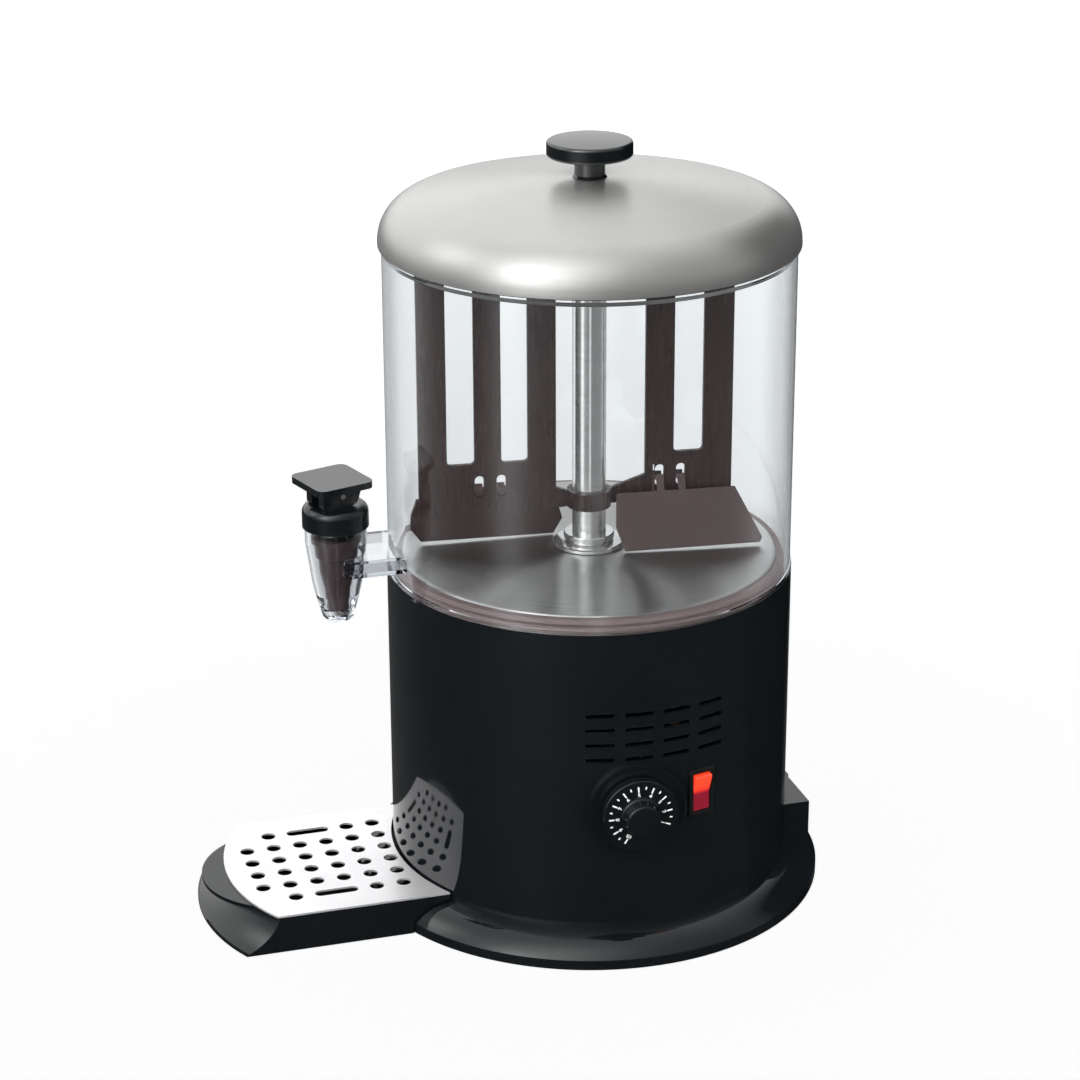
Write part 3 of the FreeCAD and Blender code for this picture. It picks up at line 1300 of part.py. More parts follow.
def check_and_export():
    """Stop on any failed object or bad shape, then write one STEP file per node."""
    doc.recompute()
    failed = [thing.Name for thing in doc.Objects if "Invalid" in thing.State or "Error" in thing.State]
    if failed:
        raise RuntimeError("failed objects: " + ", ".join(failed))
    os.makedirs("parts", exist_ok=True)
    for thing in NODES:
        shape = thing.Shape
        if shape.isNull() or not shape.isValid() or not shape.Solids:
            raise RuntimeError("bad shape: " + thing.Label)
        shape.exportStep(os.path.join("parts", thing.Label + ".step"))


def main():
    """Build every sub-part, from the foot upwards, and write them out."""
    make_foot_ring()
    make_base_shell()
    make_bottom_plate()
    make_feet()
    make_rear_housing()
    make_power_inlet()
    make_gasket()
    make_bath_cover()
    make_water_tank()
    make_heater()
    make_thermostat()
    make_thermostat_bulb()
    make_cutout()
    make_column()
    make_drive_shaft()
    make_gears()
    make_gearbox()
    make_bracket()
    make_motor()
    make_paddle()
    make_scrapers()
    make_bowl()
    make_tap_body()
    make_tap_plunger()
    make_tap_bonnet()
    make_tap_spring()
    make_tap_lever()
    make_lid_shell()
    make_lid_seal()
    make_lid_knob()
    make_drip_tray()
    make_drip_grid()
    make_dial()
    make_switch_body()
    make_rocker()
    make_terminal_block()
    check_and_export()


main()
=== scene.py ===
import math

import bmesh
import bpy
from mathutils import Matrix, Vector


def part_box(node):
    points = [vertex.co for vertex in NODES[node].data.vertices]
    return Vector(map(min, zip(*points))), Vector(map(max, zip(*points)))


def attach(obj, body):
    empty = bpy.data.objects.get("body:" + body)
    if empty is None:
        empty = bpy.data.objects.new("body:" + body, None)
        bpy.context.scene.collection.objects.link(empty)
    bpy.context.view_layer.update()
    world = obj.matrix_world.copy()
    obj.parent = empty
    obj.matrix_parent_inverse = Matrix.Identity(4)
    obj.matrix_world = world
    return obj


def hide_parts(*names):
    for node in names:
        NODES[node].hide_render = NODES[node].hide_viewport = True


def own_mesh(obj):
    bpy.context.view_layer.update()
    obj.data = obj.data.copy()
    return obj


# The looks of a heated sauce dispenser: a gloss black base, a clear bowl with a brown paddle
# over a heated steel plate, a spun steel lid, a clear tap and a drip tray.  Metres.

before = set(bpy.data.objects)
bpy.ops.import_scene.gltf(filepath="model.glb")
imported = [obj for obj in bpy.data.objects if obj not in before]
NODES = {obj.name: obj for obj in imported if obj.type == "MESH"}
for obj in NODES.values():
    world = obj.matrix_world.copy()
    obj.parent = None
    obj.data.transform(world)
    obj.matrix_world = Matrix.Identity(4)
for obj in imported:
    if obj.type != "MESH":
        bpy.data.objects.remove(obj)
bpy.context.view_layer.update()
MM = 0.001


# ---------------------------------------------------------------- node materials

class Nodes:
    """A node tree under construction, with short names for the nodes it uses."""

    def __init__(self, tree):
        self.tree = tree
        self.tree.nodes.clear()

    def add(self, kind, inputs=None, **settings):
        """Make a node; inputs holds numbers, colours or other nodes' sockets by input name."""
        node = self.tree.nodes.new("ShaderNode" + kind)
        for name, value in settings.items():
            setattr(node, name, value)
        for name, value in (inputs or {}).items():
            self.feed(node.inputs[name], value)
        return node

    def feed(self, socket, value):
        """Join another node's output to a socket, or set its value."""
        if isinstance(value, bpy.types.NodeSocket):
            self.tree.links.new(value, socket)
        else:
            socket.default_value = value

    def maths(self, operation, first, second=0.0):
        return self.add("Math", {0: first, 1: second}, operation=operation).outputs[0]

    def remap(self, value, low, high, new_low, new_high, kind="LINEAR"):
        limits = {"Value": value, "From Min": low, "From Max": high, "To Min": new_low, "To Max": new_high}
        node = self.add("MapRange", limits, clamp=True, interpolation_type=kind)
        return node.outputs[0]

    def along(self, vector, direction):
        """How far a vector runs along a fixed direction."""
        return self.add("VectorMath", {0: vector, 1: direction}, operation="DOT_PRODUCT").outputs["Value"]

    def lobe(self, vector, direction, tightness, power):
        """A soft spot of light around a fixed direction."""
        near = self.maths("MAXIMUM", self.along(vector, direction), 0.0)
        return self.maths("MULTIPLY", self.maths("POWER", near, tightness), power)


class Paint(Nodes):
    """One node material under construction."""

    def __init__(self, name):
        self.material = bpy.data.materials.new(name)
        self.material.use_nodes = True
        super().__init__(self.material.node_tree)
        self.output = self.add("OutputMaterial")

    def place(self):
        """Object coordinates: metres in the dispenser's own frame, and they ride with the piece."""
        return self.add("TexCoord").outputs["Object"]

    def noise(self, vector, scale, detail=2.0, roughness=0.5):
        node = self.add("TexNoise", {"Vector": vector, "Scale": scale, "Detail": detail,
                                     "Roughness": roughness})
        return node.outputs["Fac"]

    def stretch(self, vector, scale):
        return self.add("Mapping", {"Vector": vector, "Scale": scale}).outputs[0]

    def polar(self, vector):
        """Radius and angle about the dispenser's upright axis, and the height."""
        x, y, height = self.add("SeparateXYZ", {0: vector}).outputs
        square = self.maths("ADD", self.maths("MULTIPLY", x, x), self.maths("MULTIPLY", y, y))
        return self.maths("SQRT", square), self.maths("ARCTAN2", y, x), height

    def part(self, vector, axis):
        return self.add("SeparateXYZ", {0: vector}).outputs[axis]

    def joined(self, x, y, z):
        return self.add("CombineXYZ", {"X": x, "Y": y, "Z": z}).outputs[0]

    def scaled(self, x, x_scale, y, y_scale, z, z_scale):
        """A vector of three values, each multiplied by its own scale."""
        return self.joined(self.maths("MULTIPLY", x, x_scale), self.maths("MULTIPLY", y, y_scale),
                           self.maths("MULTIPLY", z, z_scale))

    def blend(self, factor, first, second):
        """A colour between two colours."""
        node = self.add("Mix", data_type="RGBA")
        for index, value in ((0, factor), (6, first), (7, second)):
            self.feed(node.inputs[index], value)
        return node.outputs[2]

    def bump(self, height, distance, strength, normal=None):
        inputs = {"Height": height, "Distance": distance, "Strength": strength}
        if normal is not None:
            inputs["Normal"] = normal
        return self.add("Bump", inputs).outputs[0]

    def finish(self, shader):
        self.tree.links.new(shader, self.output.inputs["Surface"])
        return self.material


def shade(colour, factor):
    return tuple(channel * factor for channel in colour[:3]) + (1.0,)


def plastic(name, colour, roughness, grain=0.0, mottle=0.12, scuffs=0.1, **surface):
    """A moulded plastic: faint clouding, fine grain, and soft scuffs that catch the light."""
    grain_size = 0.6 * MM
    paint = Paint(name)
    place = paint.place()
    clouds = paint.noise(place, 28.0, 3.0)
    specks = paint.noise(place, 900.0, 2.0)
    mixed = paint.blend(clouds, shade(colour, 1.0 - mottle), shade(colour, 1.0 + mottle))
    mixed = paint.blend(paint.remap(specks, 0.35, 0.75, 0.0, 0.35), mixed, shade(colour, 0.8))
    wipes = paint.noise(paint.stretch(place, (160.0, 160.0, 22.0)), 1.0, 4.0, 0.6)
    worn = paint.remap(wipes, 0.45, 0.75, 0.0, 1.0)
    rough = paint.maths("ADD", roughness, paint.maths("MULTIPLY", worn, scuffs))
    ripple = paint.noise(place, 24.0, 1.0)
    normal = paint.bump(ripple, 0.05 * MM, 0.3)
    if grain:
        normal = paint.bump(paint.noise(place, 1.0 / grain_size, 3.0), grain, 0.6, normal)
    inputs = {"Base Color": mixed, "Roughness": rough, "Normal": normal, "IOR": 1.5}
    inputs.update(surface)
    return paint.finish(paint.add("BsdfPrincipled", inputs).outputs[0])


def brushed(name, colour, roughness, lines="turned", depth=0.004 * MM, anisotropy=0.6, stains=0.08,
            streaks=0.12, mirror=1.0):
    """Worked steel: fine lines that follow the tool, slow clouding and small changes of gloss.

    lines is turned (rings about an upright axis), x, y or z (straight along that axis).
    Highlights stretch across the lines.  A mirror below 1 scatters a part of the light, as satin does."""
    across_lines = 0.25
    paint = Paint(name)
    place = paint.place()
    if lines == "turned":
        radius, angle, height = paint.polar(place)
        grooves = paint.scaled(radius, 2600.0, angle, 1.2, height, 2600.0)
        broad = paint.scaled(radius, 320.0, angle, 0.8, height, 320.0)
        tangent = paint.add("Tangent", direction_type="RADIAL", axis="Z").outputs[0]
    else:
        fine = tuple(60.0 if axis == lines else 2600.0 for axis in "xyz")
        grooves = paint.stretch(place, fine)
        broad = paint.stretch(place, tuple(value / 8.0 for value in fine))
        tangent = paint.joined(*(1.0 if axis == lines else 0.0 for axis in "xyz"))
    hairs = paint.noise(grooves, 1.0, 3.0, 0.7)
    bands = paint.noise(broad, 1.0, 2.0)
    clouds = paint.noise(place, 16.0, 3.0)
    tint = paint.blend(paint.remap(bands, 0.3, 0.7, 0.0, 1.0), shade(colour, 1.0 - streaks / 2.0),
                       shade(colour, 1.0 + streaks / 2.0))
    tint = paint.blend(paint.remap(clouds, 0.45, 0.8, 0.0, 1.0), tint, shade(colour, 1.0 - stains))
    gloss = paint.maths("ADD", paint.remap(hairs, 0.2, 0.8, roughness * 0.75, roughness * 1.3),
                        paint.remap(clouds, 0.4, 0.8, 0.0, 0.05))
    normal = paint.bump(hairs, depth, 0.5)
    return paint.finish(paint.add("BsdfPrincipled", {
        "Base Color": tint, "Metallic": mirror, "Roughness": gloss, "Anisotropic": anisotropy,
        "Anisotropic Rotation": across_lines, "Tangent": tangent, "Normal": normal}).outputs[0])


def cast_metal(name, colour, roughness):
    """Die-cast or plated metal with a fine pebbled skin."""
    paint = Paint(name)
    place = paint.place()
    pebbles = paint.noise(place, 1500.0, 3.0)
    clouds = paint.noise(place, 60.0, 3.0)
    tint = paint.blend(clouds, shade(colour, 0.8), shade(colour, 1.1))
    gloss = paint.remap(pebbles, 0.3, 0.7, roughness * 0.8, roughness * 1.3)
    return paint.finish(paint.add("BsdfPrincipled", {
        "Base Color": tint, "Metallic": 1.0, "Roughness": gloss,
        "Normal": paint.bump(pebbles, 0.05 * MM, 0.6)}).outputs[0])


def striped(name, colour, dark, pitch, roughness):
    """Metal in level stripes: the laminations of a stack or the turns of a winding."""
    paint = Paint(name)
    place = paint.place()
    height = paint.part(place, "Z")
    wave = paint.maths("SINE", paint.maths("MULTIPLY", height, 2.0 * math.pi / pitch))
    lines = paint.remap(wave, -1.0, 0.2, 0.0, 1.0)
    clouds = paint.noise(place, 90.0, 3.0)
    bright = paint.blend(clouds, shade(colour, 0.85), shade(colour, 1.1))
    tint = paint.blend(lines, shade(dark, 1.0), bright)
    return paint.finish(paint.add("BsdfPrincipled", {
        "Base Color": tint, "Metallic": 1.0, "Roughness": roughness,
        "Normal": paint.bump(lines, 0.1 * MM, 0.7)}).outputs[0])


def clear_tint_with_side_shade(paint, place):
    """Nearly white, with painted shade: greyer on the side faces of the outlet and the tap."""
    # The grey is painted shade for the sideways faces of the outlet and the tap.
    clear, grey = (0.955, 0.965, 0.97, 1.0), (0.72, 0.73, 0.75, 1.0)
    clearance = 1.0 * MM
    bowl_front = -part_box("bowl")[1].y - clearance
    beyond_bowl = paint.maths("LESS_THAN", paint.part(place, "Y"), bowl_front)
    facing = paint.add("NewGeometry").outputs["Normal"]
    sideways = paint.maths("ABSOLUTE", paint.part(facing, "X"))
    # Painted shade: faces beyond the bowl's front are blended towards grey as they turn sideways.
    side_shade = paint.maths("MULTIPLY", beyond_bowl, paint.maths("POWER", sideways, 2.0))
    return paint.blend(side_shade, clear, grey)


def clear_plastic(name):
    """Clear polycarbonate with rubbed marks.  It refracts; shadows and scattered light pass through it.

    A ray caught between its faces is let out straight, so that no face turns black."""
    paint = Paint(name)
    place = paint.place()
    radius, angle, height = paint.polar(place)
    rubs = paint.noise(paint.scaled(radius, 90.0, angle, 3.0, height, 30.0), 1.0, 3.0, 0.5)
    rough = paint.remap(rubs, 0.5, 0.85, 0.002, 0.02)
    ripple = paint.noise(place, 22.0, 1.0)
    # The glass colour carries painted shade on the side faces of the outlet and the tap.
    glass = paint.add("BsdfGlass", {"Color": clear_tint_with_side_shade(paint, place), "Roughness": rough, "IOR": 1.49,
                                    "Normal": paint.bump(ripple, 0.05 * MM, 0.4)}).outputs[0]
    through = paint.add("BsdfTransparent", {"Color": (0.93, 0.94, 0.95, 1.0)}).outputs[0]
    rays = paint.add("LightPath").outputs
    most_bounces = 5.5
    trapped = paint.maths("GREATER_THAN", rays["Ray Depth"], most_bounces)
    pass_through = paint.maths("MAXIMUM", rays["Is Shadow Ray"], rays["Is Diffuse Ray"])
    pass_through = paint.maths("MAXIMUM", pass_through, trapped)
    return paint.finish(paint.add("MixShader", {0: pass_through, 1: glass, 2: through}).outputs[0])


def lit_rocker(name):
    """Translucent red plastic with a lamp behind its upper half."""
    paint = Paint(name)
    place = paint.place()
    low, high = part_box("rocker_button")
    height = paint.part(place, "Z")
    middle = (low.z + high.z) / 2.0
    upper = paint.remap(height, middle - 1.0 * MM, middle + 4.0 * MM, 0.0, 1.0)
    clouds = paint.noise(place, 220.0, 2.0)
    red = paint.blend(upper, (0.16, 0.006, 0.016, 1.0), (0.75, 0.03, 0.012, 1.0))
    uneven = paint.remap(clouds, 0.2, 0.8, 0.7, 1.15)
    glow = paint.maths("MULTIPLY", paint.maths("MULTIPLY", upper, 0.7), uneven)
    return paint.finish(paint.add("BsdfPrincipled", {
        "Base Color": red, "Roughness": 0.16, "Emission Color": (1.0, 0.05, 0.015, 1.0),
        "Emission Strength": glow, "Normal": paint.bump(clouds, 0.03 * MM, 0.4)}).outputs[0])


FINISHES = {
    "black_gloss": lambda n: plastic(n, (0.0036, 0.0048, 0.0056), 0.045, mottle=0.2, scuffs=0.06, IOR=1.55),
    "knob_gloss": lambda n: plastic(n, (0.0036, 0.0048, 0.0056), 0.06, mottle=0.2, scuffs=0.06, IOR=1.85),
    "dial_black": lambda n: plastic(n, (0.0034, 0.0044, 0.0052), 0.16, grain=0.006 * MM),
    "switch_black": lambda n: plastic(n, (0.004, 0.005, 0.005), 0.28, grain=0.01 * MM),
    "rocker_red": lit_rocker,
    "lid_steel": lambda n: brushed(n, (0.54, 0.535, 0.525), 0.34, depth=0.0005 * MM, anisotropy=0.7,
                                   streaks=0.03, stains=0.04, mirror=0.92),
    "plate_steel": lambda n: brushed(n, (0.72, 0.71, 0.70), 0.31, depth=0.0004 * MM, anisotropy=1.0,
                                     streaks=0.1),
    "column_steel": lambda n: brushed(n, (0.72, 0.715, 0.705), 0.14, depth=0.002 * MM, anisotropy=0.3,
                                      mirror=0.93),
    "grid_steel": lambda n: brushed(n, (0.82, 0.815, 0.83), 0.36, lines="y", anisotropy=0.35,
                                    depth=0.002 * MM, streaks=0.06, mirror=0.8),
    "clear_polycarbonate": clear_plastic,
    "paddle_brown": lambda n: plastic(n, (0.026, 0.016, 0.015), 0.26, mottle=0.2, IOR=1.4),
    "scraper_brown": lambda n: plastic(n, (0.052, 0.032, 0.030), 0.34, grain=0.003 * MM, mottle=0.12),
    "plunger_brown": lambda n: plastic(n, (0.046, 0.031, 0.031), 0.28, grain=0.004 * MM),
    "gasket_brown": lambda n: plastic(n, (0.115, 0.080, 0.078), 0.42, grain=0.015 * MM),
    "dark_rubber": lambda n: plastic(n, (0.014, 0.014, 0.015), 0.62, grain=0.02 * MM),
    "plain_steel": lambda n: brushed(n, (0.60, 0.595, 0.585), 0.32, lines="x", anisotropy=0.3),
    "spring_steel": lambda n: brushed(n, (0.62, 0.615, 0.60), 0.2, lines="z", anisotropy=0.1),
    "heater_steel": lambda n: cast_metal(n, (0.42, 0.40, 0.37), 0.42),
    "gearbox_metal": lambda n: cast_metal(n, (0.50, 0.50, 0.49), 0.45),
    "stack_steel": lambda n: striped(n, (0.34, 0.35, 0.37), (0.08, 0.08, 0.09), 0.7 * MM, 0.42),
    "coil_copper": lambda n: striped(n, (0.62, 0.25, 0.11), (0.20, 0.06, 0.03), 0.6 * MM, 0.3),
    "brass": lambda n: brushed(n, (0.72, 0.52, 0.22), 0.3, lines="z", anisotropy=0.2),
    "gear_nylon": lambda n: plastic(n, (0.74, 0.72, 0.64), 0.42, grain=0.02 * MM),
    "bush_ptfe": lambda n: plastic(n, (0.78, 0.78, 0.76), 0.5, grain=0.02 * MM),
    "control_grey": lambda n: plastic(n, (0.055, 0.057, 0.06), 0.4, grain=0.03 * MM),
    "terminal_white": lambda n: plastic(n, (0.70, 0.69, 0.65), 0.45, grain=0.03 * MM),
    "dial_print": lambda n: plastic(n, (0.62, 0.63, 0.62), 0.5, grain=0.01 * MM),
}
# The lid's knob and the tap's lever are polished brighter than the other black mouldings.
OWN_FINISH = {"lid_knob": "knob_gloss", "tap_lever": "knob_gloss"}


def paint_frame():
    """Give every CAD node its own finish or that of its material slot."""
    wanted = [(slot, OWN_FINISH.get(name, slot.material.name))
              for name, node in NODES.items() for slot in node.material_slots]
    made = {finish: make("finish_" + finish) for finish, make in FINISHES.items()}
    for slot, finish in wanted:
        slot.material = made[finish]
    return made


finishes = paint_frame()


# ---------------------------------------------------------------- modifiers on CAD nodes

# Edges that turn by more than this angle are rounded, each node's by its own radius in millimetres.
EDGE_ANGLE = math.radians(32.0)
EDGE_RADII = {
    "drip_tray": 0.5, "tap_lever": 0.5, "paddle": 0.45, "long_scraper": 0.4, "short_scraper": 0.4,
    "rear_housing": 0.8, "power_inlet": 0.4, "switch_body": 0.35, "rocker_button": 0.35, "dial_bezel": 0.5,
}


def soften(name, radius):
    """Round the hard edges of a CAD node by a small radius."""
    node = NODES[name]
    weld = node.modifiers.new("weld", "WELD")
    weld.merge_threshold = 0.002 * MM
    bevel = node.modifiers.new("edge_radius", "BEVEL")
    bevel.width = radius
    bevel.segments = 2
    bevel.limit_method = "ANGLE"
    bevel.angle_limit = EDGE_ANGLE
    bevel.harden_normals = True
    normals = node.modifiers.new("normals", "WEIGHTED_NORMAL")
    normals.keep_sharp = True


for node_name, radius in EDGE_RADII.items():
    soften(node_name, radius * MM)


# ---------------------------------------------------------------- building pieces

def join_rings(mesh, rings):
    """A skin of four-sided faces from each ring of points to the next."""
    count = len(rings[0])
    for lower, upper in zip(rings, rings[1:]):
        for point in range(count):
            after = (point + 1) % count
            mesh.faces.new((lower[point], lower[after], upper[after], upper[point]))


def smooth(data):
    """Shade every face of a mesh smoothly."""
    data.polygons.foreach_set("use_smooth", [True] * len(data.polygons))


def add_piece(mesh, name, body, finish):
    """Turn a bmesh into a piece that rides on a body and has a finish."""
    bmesh.ops.recalc_face_normals(mesh, faces=mesh.faces)
    data = bpy.data.meshes.new(name)
    mesh.to_mesh(data)
    mesh.free()
    piece = bpy.data.objects.new(name, data)
    bpy.context.scene.collection.objects.link(piece)
    data.materials.append(finishes[finish])
    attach(piece, body)
    return piece


# ---------------------------------------------------------------- dial

# The dial's axis is level and turned a little towards the tap's side.
DIAL_TURN = math.radians(-4.0)
DIAL_OUT = Vector((math.cos(DIAL_TURN), math.sin(DIAL_TURN), 0.0))
DIAL_RIGHT = Vector((0.0, 0.0, 1.0)).cross(DIAL_OUT)
DIAL_HEIGHT = 95.5 * MM
DIAL_BACK = 122.7 * MM
# Radii and heights over the dial's back, in millimetres: the print stands in the face that slopes
# from the rim to the grip's root, and the outline runs from the back to the middle of the grip.
PRINT_PROUD, PRINT_SUNK = 0.06, 0.15
FACE_RIM, FACE_RIM_HEIGHT = 20.4, 6.6
FACE_ROOT, FACE_ROOT_HEIGHT = 11.8, 7.2
DIAL_OUTLINE = [(3.0, 0.0), (21.4, 0.0), (22.0, 0.6), (22.0, 6.6), (FACE_RIM, FACE_RIM_HEIGHT),
                (FACE_ROOT, FACE_ROOT_HEIGHT), (10.6, 8.0), (9.6, 15.0), (0.0, 15.4)]


def dial_point(radius, clock, height):
    """A place on the dial: radius, clock angle from the top and height over its back, in millimetres."""
    turn = math.radians(clock)
    across = Vector((0.0, 0.0, 1.0)) * math.cos(turn) + DIAL_RIGHT * math.sin(turn)
    centre = Vector((0.0, 0.0, DIAL_HEIGHT))
    return DIAL_OUT * (DIAL_BACK + height * MM) + across * radius * MM + centre


def face_height(radius):
    """Height of the dial's face, which slopes up from its rim to the grip, in millimetres."""
    climb = (FACE_RIM - radius) / (FACE_RIM - FACE_ROOT)
    return FACE_RIM_HEIGHT + climb * (FACE_ROOT_HEIGHT - FACE_RIM_HEIGHT)


def rounded(corners, reach, steps=5):
    """An open outline whose inner corners are rounded within a reach of each corner."""
    points = [Vector(corners[0])]
    for before, corner, after in zip(corners, corners[1:], corners[2:]):
        before, corner, after = Vector(before), Vector(corner), Vector(after)
        start = corner + (before - corner) * min(0.45, reach / (before - corner).length)
        end = corner + (after - corner) * min(0.45, reach / (after - corner).length)
        for step in range(steps + 1):
            part = step / steps
            points.append(start.lerp(corner, part).lerp(corner.lerp(end, part), part))
    points.append(Vector(corners[-1]))
    return points


def make_dial_knob():
    """The dial's smooth moulding, turned about its own axis."""
    turns = 128
    mesh = bmesh.new()
    rings = []
    outline = rounded(DIAL_OUTLINE, 1.2)
    for point in outline[:-1]:
        rings.append([mesh.verts.new(dial_point(point.x, 360.0 * turn / turns, point.y))
                      for turn in range(turns)])
    join_rings(mesh, rings)
    top = mesh.verts.new(dial_point(0.0, 0.0, outline[-1].y))
    for turn in range(turns):
        mesh.faces.new((rings[-1][turn], rings[-1][(turn + 1) % turns], top))
    mesh.faces.new(rings[0])
    piece = add_piece(mesh, "dial_moulding", "dial", "dial_black")
    smooth(piece.data)
    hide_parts("dial_knob")


def make_dial_print():
    """White marks and numbers on the dial's face: ten long marks with short ones between."""
    first_mark, step, count, number_radius = 210.0, 29.0, 10, 13.4
    mesh = bmesh.new()
    for index in range(count * 2 - 1):
        add_mark(mesh, first_mark + step * index / 2.0, index % 2 == 0)
    for index in range(count):
        add_number(mesh, str(count - index), number_radius, first_mark + step * index)
    add_piece(mesh, "dial_print", "dial", "dial_print")


def add_mark(mesh, clock, is_long):
    """A thin solid bar that points outwards on the dial's face."""
    outer, middle = 18.6, 17.0
    inner, half_width = (15.4, 0.42) if is_long else (17.0, 0.36)
    half_turn = math.degrees(half_width / middle)
    corners = [[mesh.verts.new(dial_point(radius, clock + side * half_turn, face_height(radius) + lift))
                for radius, side in ((inner, -1.0), (outer, -1.0), (outer, 1.0), (inner, 1.0))]
               for lift in (-PRINT_SUNK, PRINT_PROUD)]
    mesh.faces.new(corners[0])
    mesh.faces.new(corners[1])
    join_rings(mesh, corners)


def add_number(mesh, digits, radius, clock):
    """Stand a number's solid letters on the dial's face, tops outwards."""
    letters = bpy.data.curves.new("number", "FONT")
    letters.body = digits
    letters.size = 3.5 * MM
    letters.offset = 0.06 * MM
    letters.align_x = "CENTER"
    letters.align_y = "CENTER"
    letters.extrude = (PRINT_PROUD + PRINT_SUNK) / 2.0 * MM
    holder = bpy.data.objects.new("number", letters)
    bpy.context.scene.collection.objects.link(holder)
    bpy.context.view_layer.update()
    evaluated = holder.evaluated_get(bpy.context.evaluated_depsgraph_get())
    solid = bpy.data.meshes.new_from_object(evaluated)
    outward = (dial_point(1.0, clock, 0.0) - dial_point(0.0, clock, 0.0)).normalized()
    sideways = outward.cross(DIAL_OUT)
    turn = Matrix((sideways, outward, DIAL_OUT)).transposed().to_4x4()
    middle = dial_point(radius, clock, face_height(radius) + (PRINT_PROUD - PRINT_SUNK) / 2.0)
    solid.transform(Matrix.Translation(middle) @ turn)
    mesh.from_mesh(solid)
    bpy.data.objects.remove(holder)
    bpy.data.curves.remove(letters)
    bpy.data.meshes.remove(solid)


make_dial_knob()
make_dial_print()


# ---------------------------------------------------------------- the tap's spring

def make_tap_coil():
    """The coil spring in the tap, built as one rigid piece that rides on the bowl set; in the tap its lower
    end rises with the plunger and its upper end stays.
    """
    radius, wire, stroke = 6.85 * MM, 0.7 * MM, 6.0 * MM
    coils, steps, sides = 5, 40, 12
    low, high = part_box("tap_spring")
    middle = (low.y + high.y) / 2.0
    bottom, top = low.z + wire, high.z - wire
    slope = (top - bottom) / (coils * 2.0 * math.pi * radius)
    angles = [2.0 * math.pi * side / sides for side in range(sides)]
    mesh = bmesh.new()
    rings = []
    for step in range(coils * steps + 1):
        turn = 2.0 * math.pi * step / steps
        out = Vector((math.cos(turn), math.sin(turn), 0.0))
        along = Vector((-math.sin(turn), math.cos(turn), slope)).normalized()
        over = along.cross(out)
        height = bottom + (top - bottom) * step / (coils * steps)
        centre = Vector((0.0, middle, height)) + out * radius
        rings.append([mesh.verts.new(centre + (out * math.cos(angle) + over * math.sin(angle)) * wire)
                      for angle in angles])
    join_rings(mesh, rings)
    mesh.faces.new(rings[0])
    mesh.faces.new(rings[-1])
    piece = add_piece(mesh, "tap_coil", "bowl_set", "spring_steel")
    smooth(piece.data)
    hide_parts("tap_spring")
    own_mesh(piece)


make_tap_coil()


# ---------------------------------------------------------------- stage, light and camera

# Where the camera stands: azimuth 0 is in front of the tap and 90 in front of the dial.
VIEW_AZIMUTH = 73.65
VIEW_ELEVATION = 21.15


def flat_back(azimuth):
    """The level direction from the dispenser to an azimuth: 0 is in front of the tap."""
    turn = math.radians(azimuth)
    return Vector((math.sin(turn), -math.cos(turn), 0.0))


def aim(azimuth, elevation):
    """The direction from the dispenser towards an azimuth and an elevation."""
    rise = math.radians(elevation)
    return flat_back(azimuth) * math.cos(rise) + Vector((0.0, 0.0, math.sin(rise)))


def make_stage():
    """A pale round floor that curves up into a pale wall all round."""
    floor_radius, curve, wall_top, steps = 3.6, 1.2, 5.0, 12
    profile = [(floor_radius, 0.0)]
    for step in range(1, steps + 1):
        angle = math.pi / 2.0 * step / steps
        profile.append((floor_radius + curve * math.sin(angle), curve * (1.0 - math.cos(angle))))
    profile.append((floor_radius + curve, wall_top))
    mesh = bmesh.new()
    turns = 96
    angles = [2.0 * math.pi * turn / turns for turn in range(turns)]
    rings = [[mesh.verts.new((radius * math.cos(angle), radius * math.sin(angle), height))
              for angle in angles] for radius, height in profile]
    mesh.faces.new(rings[0])
    join_rings(mesh, rings)
    data = bpy.data.meshes.new("studio")
    mesh.to_mesh(data)
    mesh.free()
    smooth(data)
    studio = bpy.data.objects.new("studio", data)
    bpy.context.scene.collection.objects.link(studio)
    studio.visible_glossy = False
    data.materials.append(studio_white())


def studio_white():
    """White that glows by itself and isn't there for a reflected ray, which finds the surroundings."""
    white, glow = (1.0, 1.0, 1.0, 1.0), 0.97
    paint = Paint("studio_white")
    pale = paint.add("BsdfDiffuse", {"Color": (0.86, 0.86, 0.865, 1.0)}).outputs[0]
    own = paint.add("Emission", {"Color": white, "Strength": glow}).outputs[0]
    lit = paint.add("AddShader", {0: pale, 1: own}).outputs[0]
    open_air = paint.add("BsdfTransparent").outputs[0]
    reflected = paint.maths("GREATER_THAN", paint.add("LightPath").outputs["Glossy Depth"], 0.5)
    return paint.finish(paint.add("MixShader", {0: reflected, 1: lit, 2: open_air}).outputs[0])


# Soft glows that mirror in gloss: azimuth from the camera's side, elevation, tightness, strength.
# A negative strength darkens.
GLOWS = [(-26.0, 48.0, 10.0, 1.3), (-38.0, 30.0, 60.0, 3.0), (-34.0, 20.0, 9.0, 1.6),
         (-5.0, 68.0, 6.0, 0.4), (-92.0, 34.0, 30.0, 2.0), (131.0, 17.0, 9.0, -2.1)]
# Upright bright bands, seen only through the clear bowl: azimuth, tightness, strength.
BANDS = [(-47.0, 60.0, 1.7), (5.0, 220.0, 1.2), (-120.0, 30.0, 0.8), (110.0, 40.0, 0.6)]


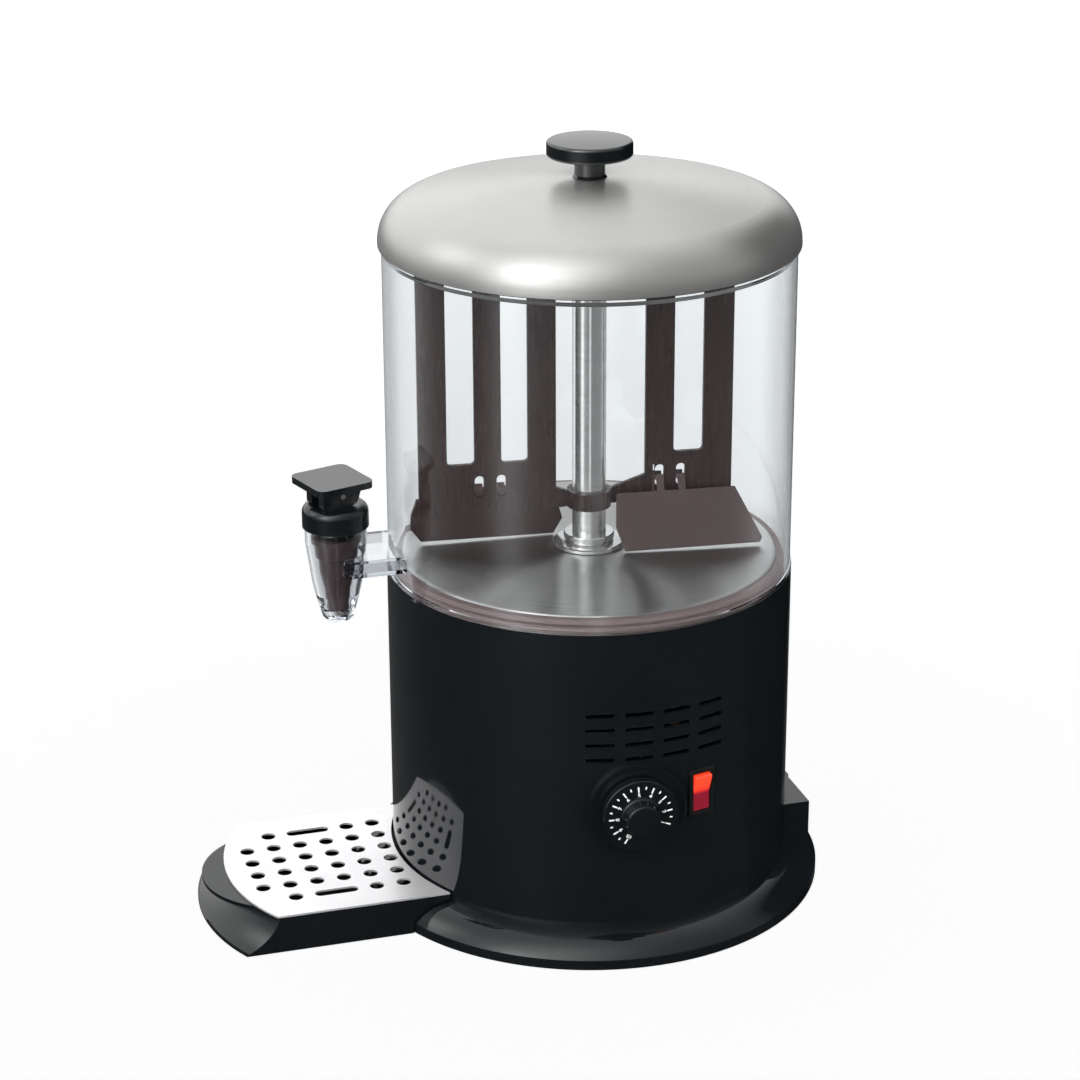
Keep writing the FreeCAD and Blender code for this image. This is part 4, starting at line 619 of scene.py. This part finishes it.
def make_world():
    """Soft surroundings: bright beyond the dispenser, dim in front of it and underfoot.

    Only reflections see them.  What is seen through the clear bowl finds the floor brighter."""
    dim, bright, floor, floor_through_bowl = 0.30, 1.2, 0.06, 0.6
    world = bpy.data.worlds.new("surroundings")
    bpy.context.scene.world = world
    world.use_nodes = True
    world.cycles.sampling_method = "NONE"
    nodes = Nodes(world.node_tree)
    direction = nodes.add("TexCoord").outputs["Generated"]
    level = nodes.add("VectorMath", {0: direction, 1: (1.0, 1.0, 0.0)}, operation="MULTIPLY").outputs[0]
    level = nodes.add("VectorMath", {0: level}, operation="NORMALIZE").outputs[0]
    depth = nodes.add("LightPath").outputs["Transmission Depth"]
    through = nodes.maths("GREATER_THAN", depth, 0.5)
    away = nodes.along(direction, -flat_back(VIEW_AZIMUTH))
    far_side = nodes.remap(away, -0.35, 0.75, dim, bright, "SMOOTHSTEP")
    underfoot = nodes.maths("ADD", nodes.maths("MULTIPLY", through, floor_through_bowl), floor)
    height = nodes.add("SeparateXYZ", {0: direction}).outputs["Z"]
    above = nodes.remap(height, -0.10, 0.12, underfoot, 1.0, "SMOOTHSTEP")
    strength = nodes.maths("MULTIPLY", far_side, above)
    for azimuth, elevation, tightness, power in GLOWS:
        lobe = nodes.lobe(direction, aim(VIEW_AZIMUTH + azimuth, elevation), tightness, power)
        strength = nodes.maths("ADD", strength, lobe)
    for azimuth, tightness, power in BANDS:
        lobe = nodes.lobe(level, flat_back(VIEW_AZIMUTH + azimuth), tightness, power)
        strength = nodes.maths("ADD", strength, nodes.maths("MULTIPLY", lobe, through))
    strength = nodes.maths("MAXIMUM", strength, 0.0)
    surround = nodes.add("Background", {"Color": (1.0, 1.0, 1.0, 1.0), "Strength": strength})
    nodes.add("OutputWorld", {"Surface": surround.outputs[0]})


def softbox(name, azimuth, elevation, distance, width, height, power):
    """A rectangular light aimed at the dispenser; it lights matt surfaces and never mirrors."""
    target = Vector((0.0, 0.0, 0.25))
    lamp = bpy.data.lights.new(name, "AREA")
    lamp.shape = "RECTANGLE"
    lamp.size = width
    lamp.size_y = height
    lamp.energy = power
    box = bpy.data.objects.new(name, lamp)
    bpy.context.scene.collection.objects.link(box)
    direction = aim(azimuth, elevation)
    box.location = target + direction * distance
    box.rotation_mode = "QUATERNION"
    box.rotation_quaternion = direction.to_track_quat("Z", "Y")
    box.visible_camera = False
    box.visible_transmission = False
    box.visible_glossy = False


# Name, azimuth from the camera's side, elevation, distance, width, height and power in watts.
LAMPS = [("key_light", -38.0, 33.0, 1.9, 0.7, 0.7, 22.0),
         ("top_light", 180.0, 72.0, 2.2, 1.8, 1.8, 30.0),
         ("side_light", 75.0, 22.0, 2.4, 0.35, 1.2, 6.0)]


def make_lights():
    for name, azimuth, elevation, distance, width, height, power in LAMPS:
        softbox(name, VIEW_AZIMUTH + azimuth, elevation, distance, width, height, power)


def make_camera():
    """A long lens that looks down on the dial's side, shifted and rolled very little."""
    distance, look_height = 1.747, 0.236
    across, down, roll = 0.02893, 0.01944, math.radians(-0.24)
    turn = math.radians(VIEW_AZIMUTH)
    back = aim(VIEW_AZIMUTH, VIEW_ELEVATION)
    right = Vector((math.cos(turn), math.sin(turn), 0.0))
    up = back.cross(right)
    rolled_right = right * math.cos(roll) + up * math.sin(roll)
    rolled_up = up * math.cos(roll) - right * math.sin(roll)
    lens = bpy.data.cameras.new("camera")
    lens.sensor_width = 36.0
    lens.lens = 98.56
    lens.clip_start = 0.05
    lens.clip_end = 50.0
    camera = bpy.data.objects.new("camera", lens)
    bpy.context.scene.collection.objects.link(camera)
    axes = Matrix((rolled_right, rolled_up, back)).transposed()
    camera.rotation_mode = "QUATERNION"
    camera.rotation_quaternion = axes.to_quaternion()
    look_at = Vector((0.0, 0.0, look_height))
    camera.location = look_at + back * distance - rolled_right * across - rolled_up * down
    bpy.context.scene.camera = camera


make_stage()
make_world()
make_lights()
make_camera()
scene = bpy.context.scene
scene.view_settings.view_transform = "Standard"
scene.view_settings.look = "None"
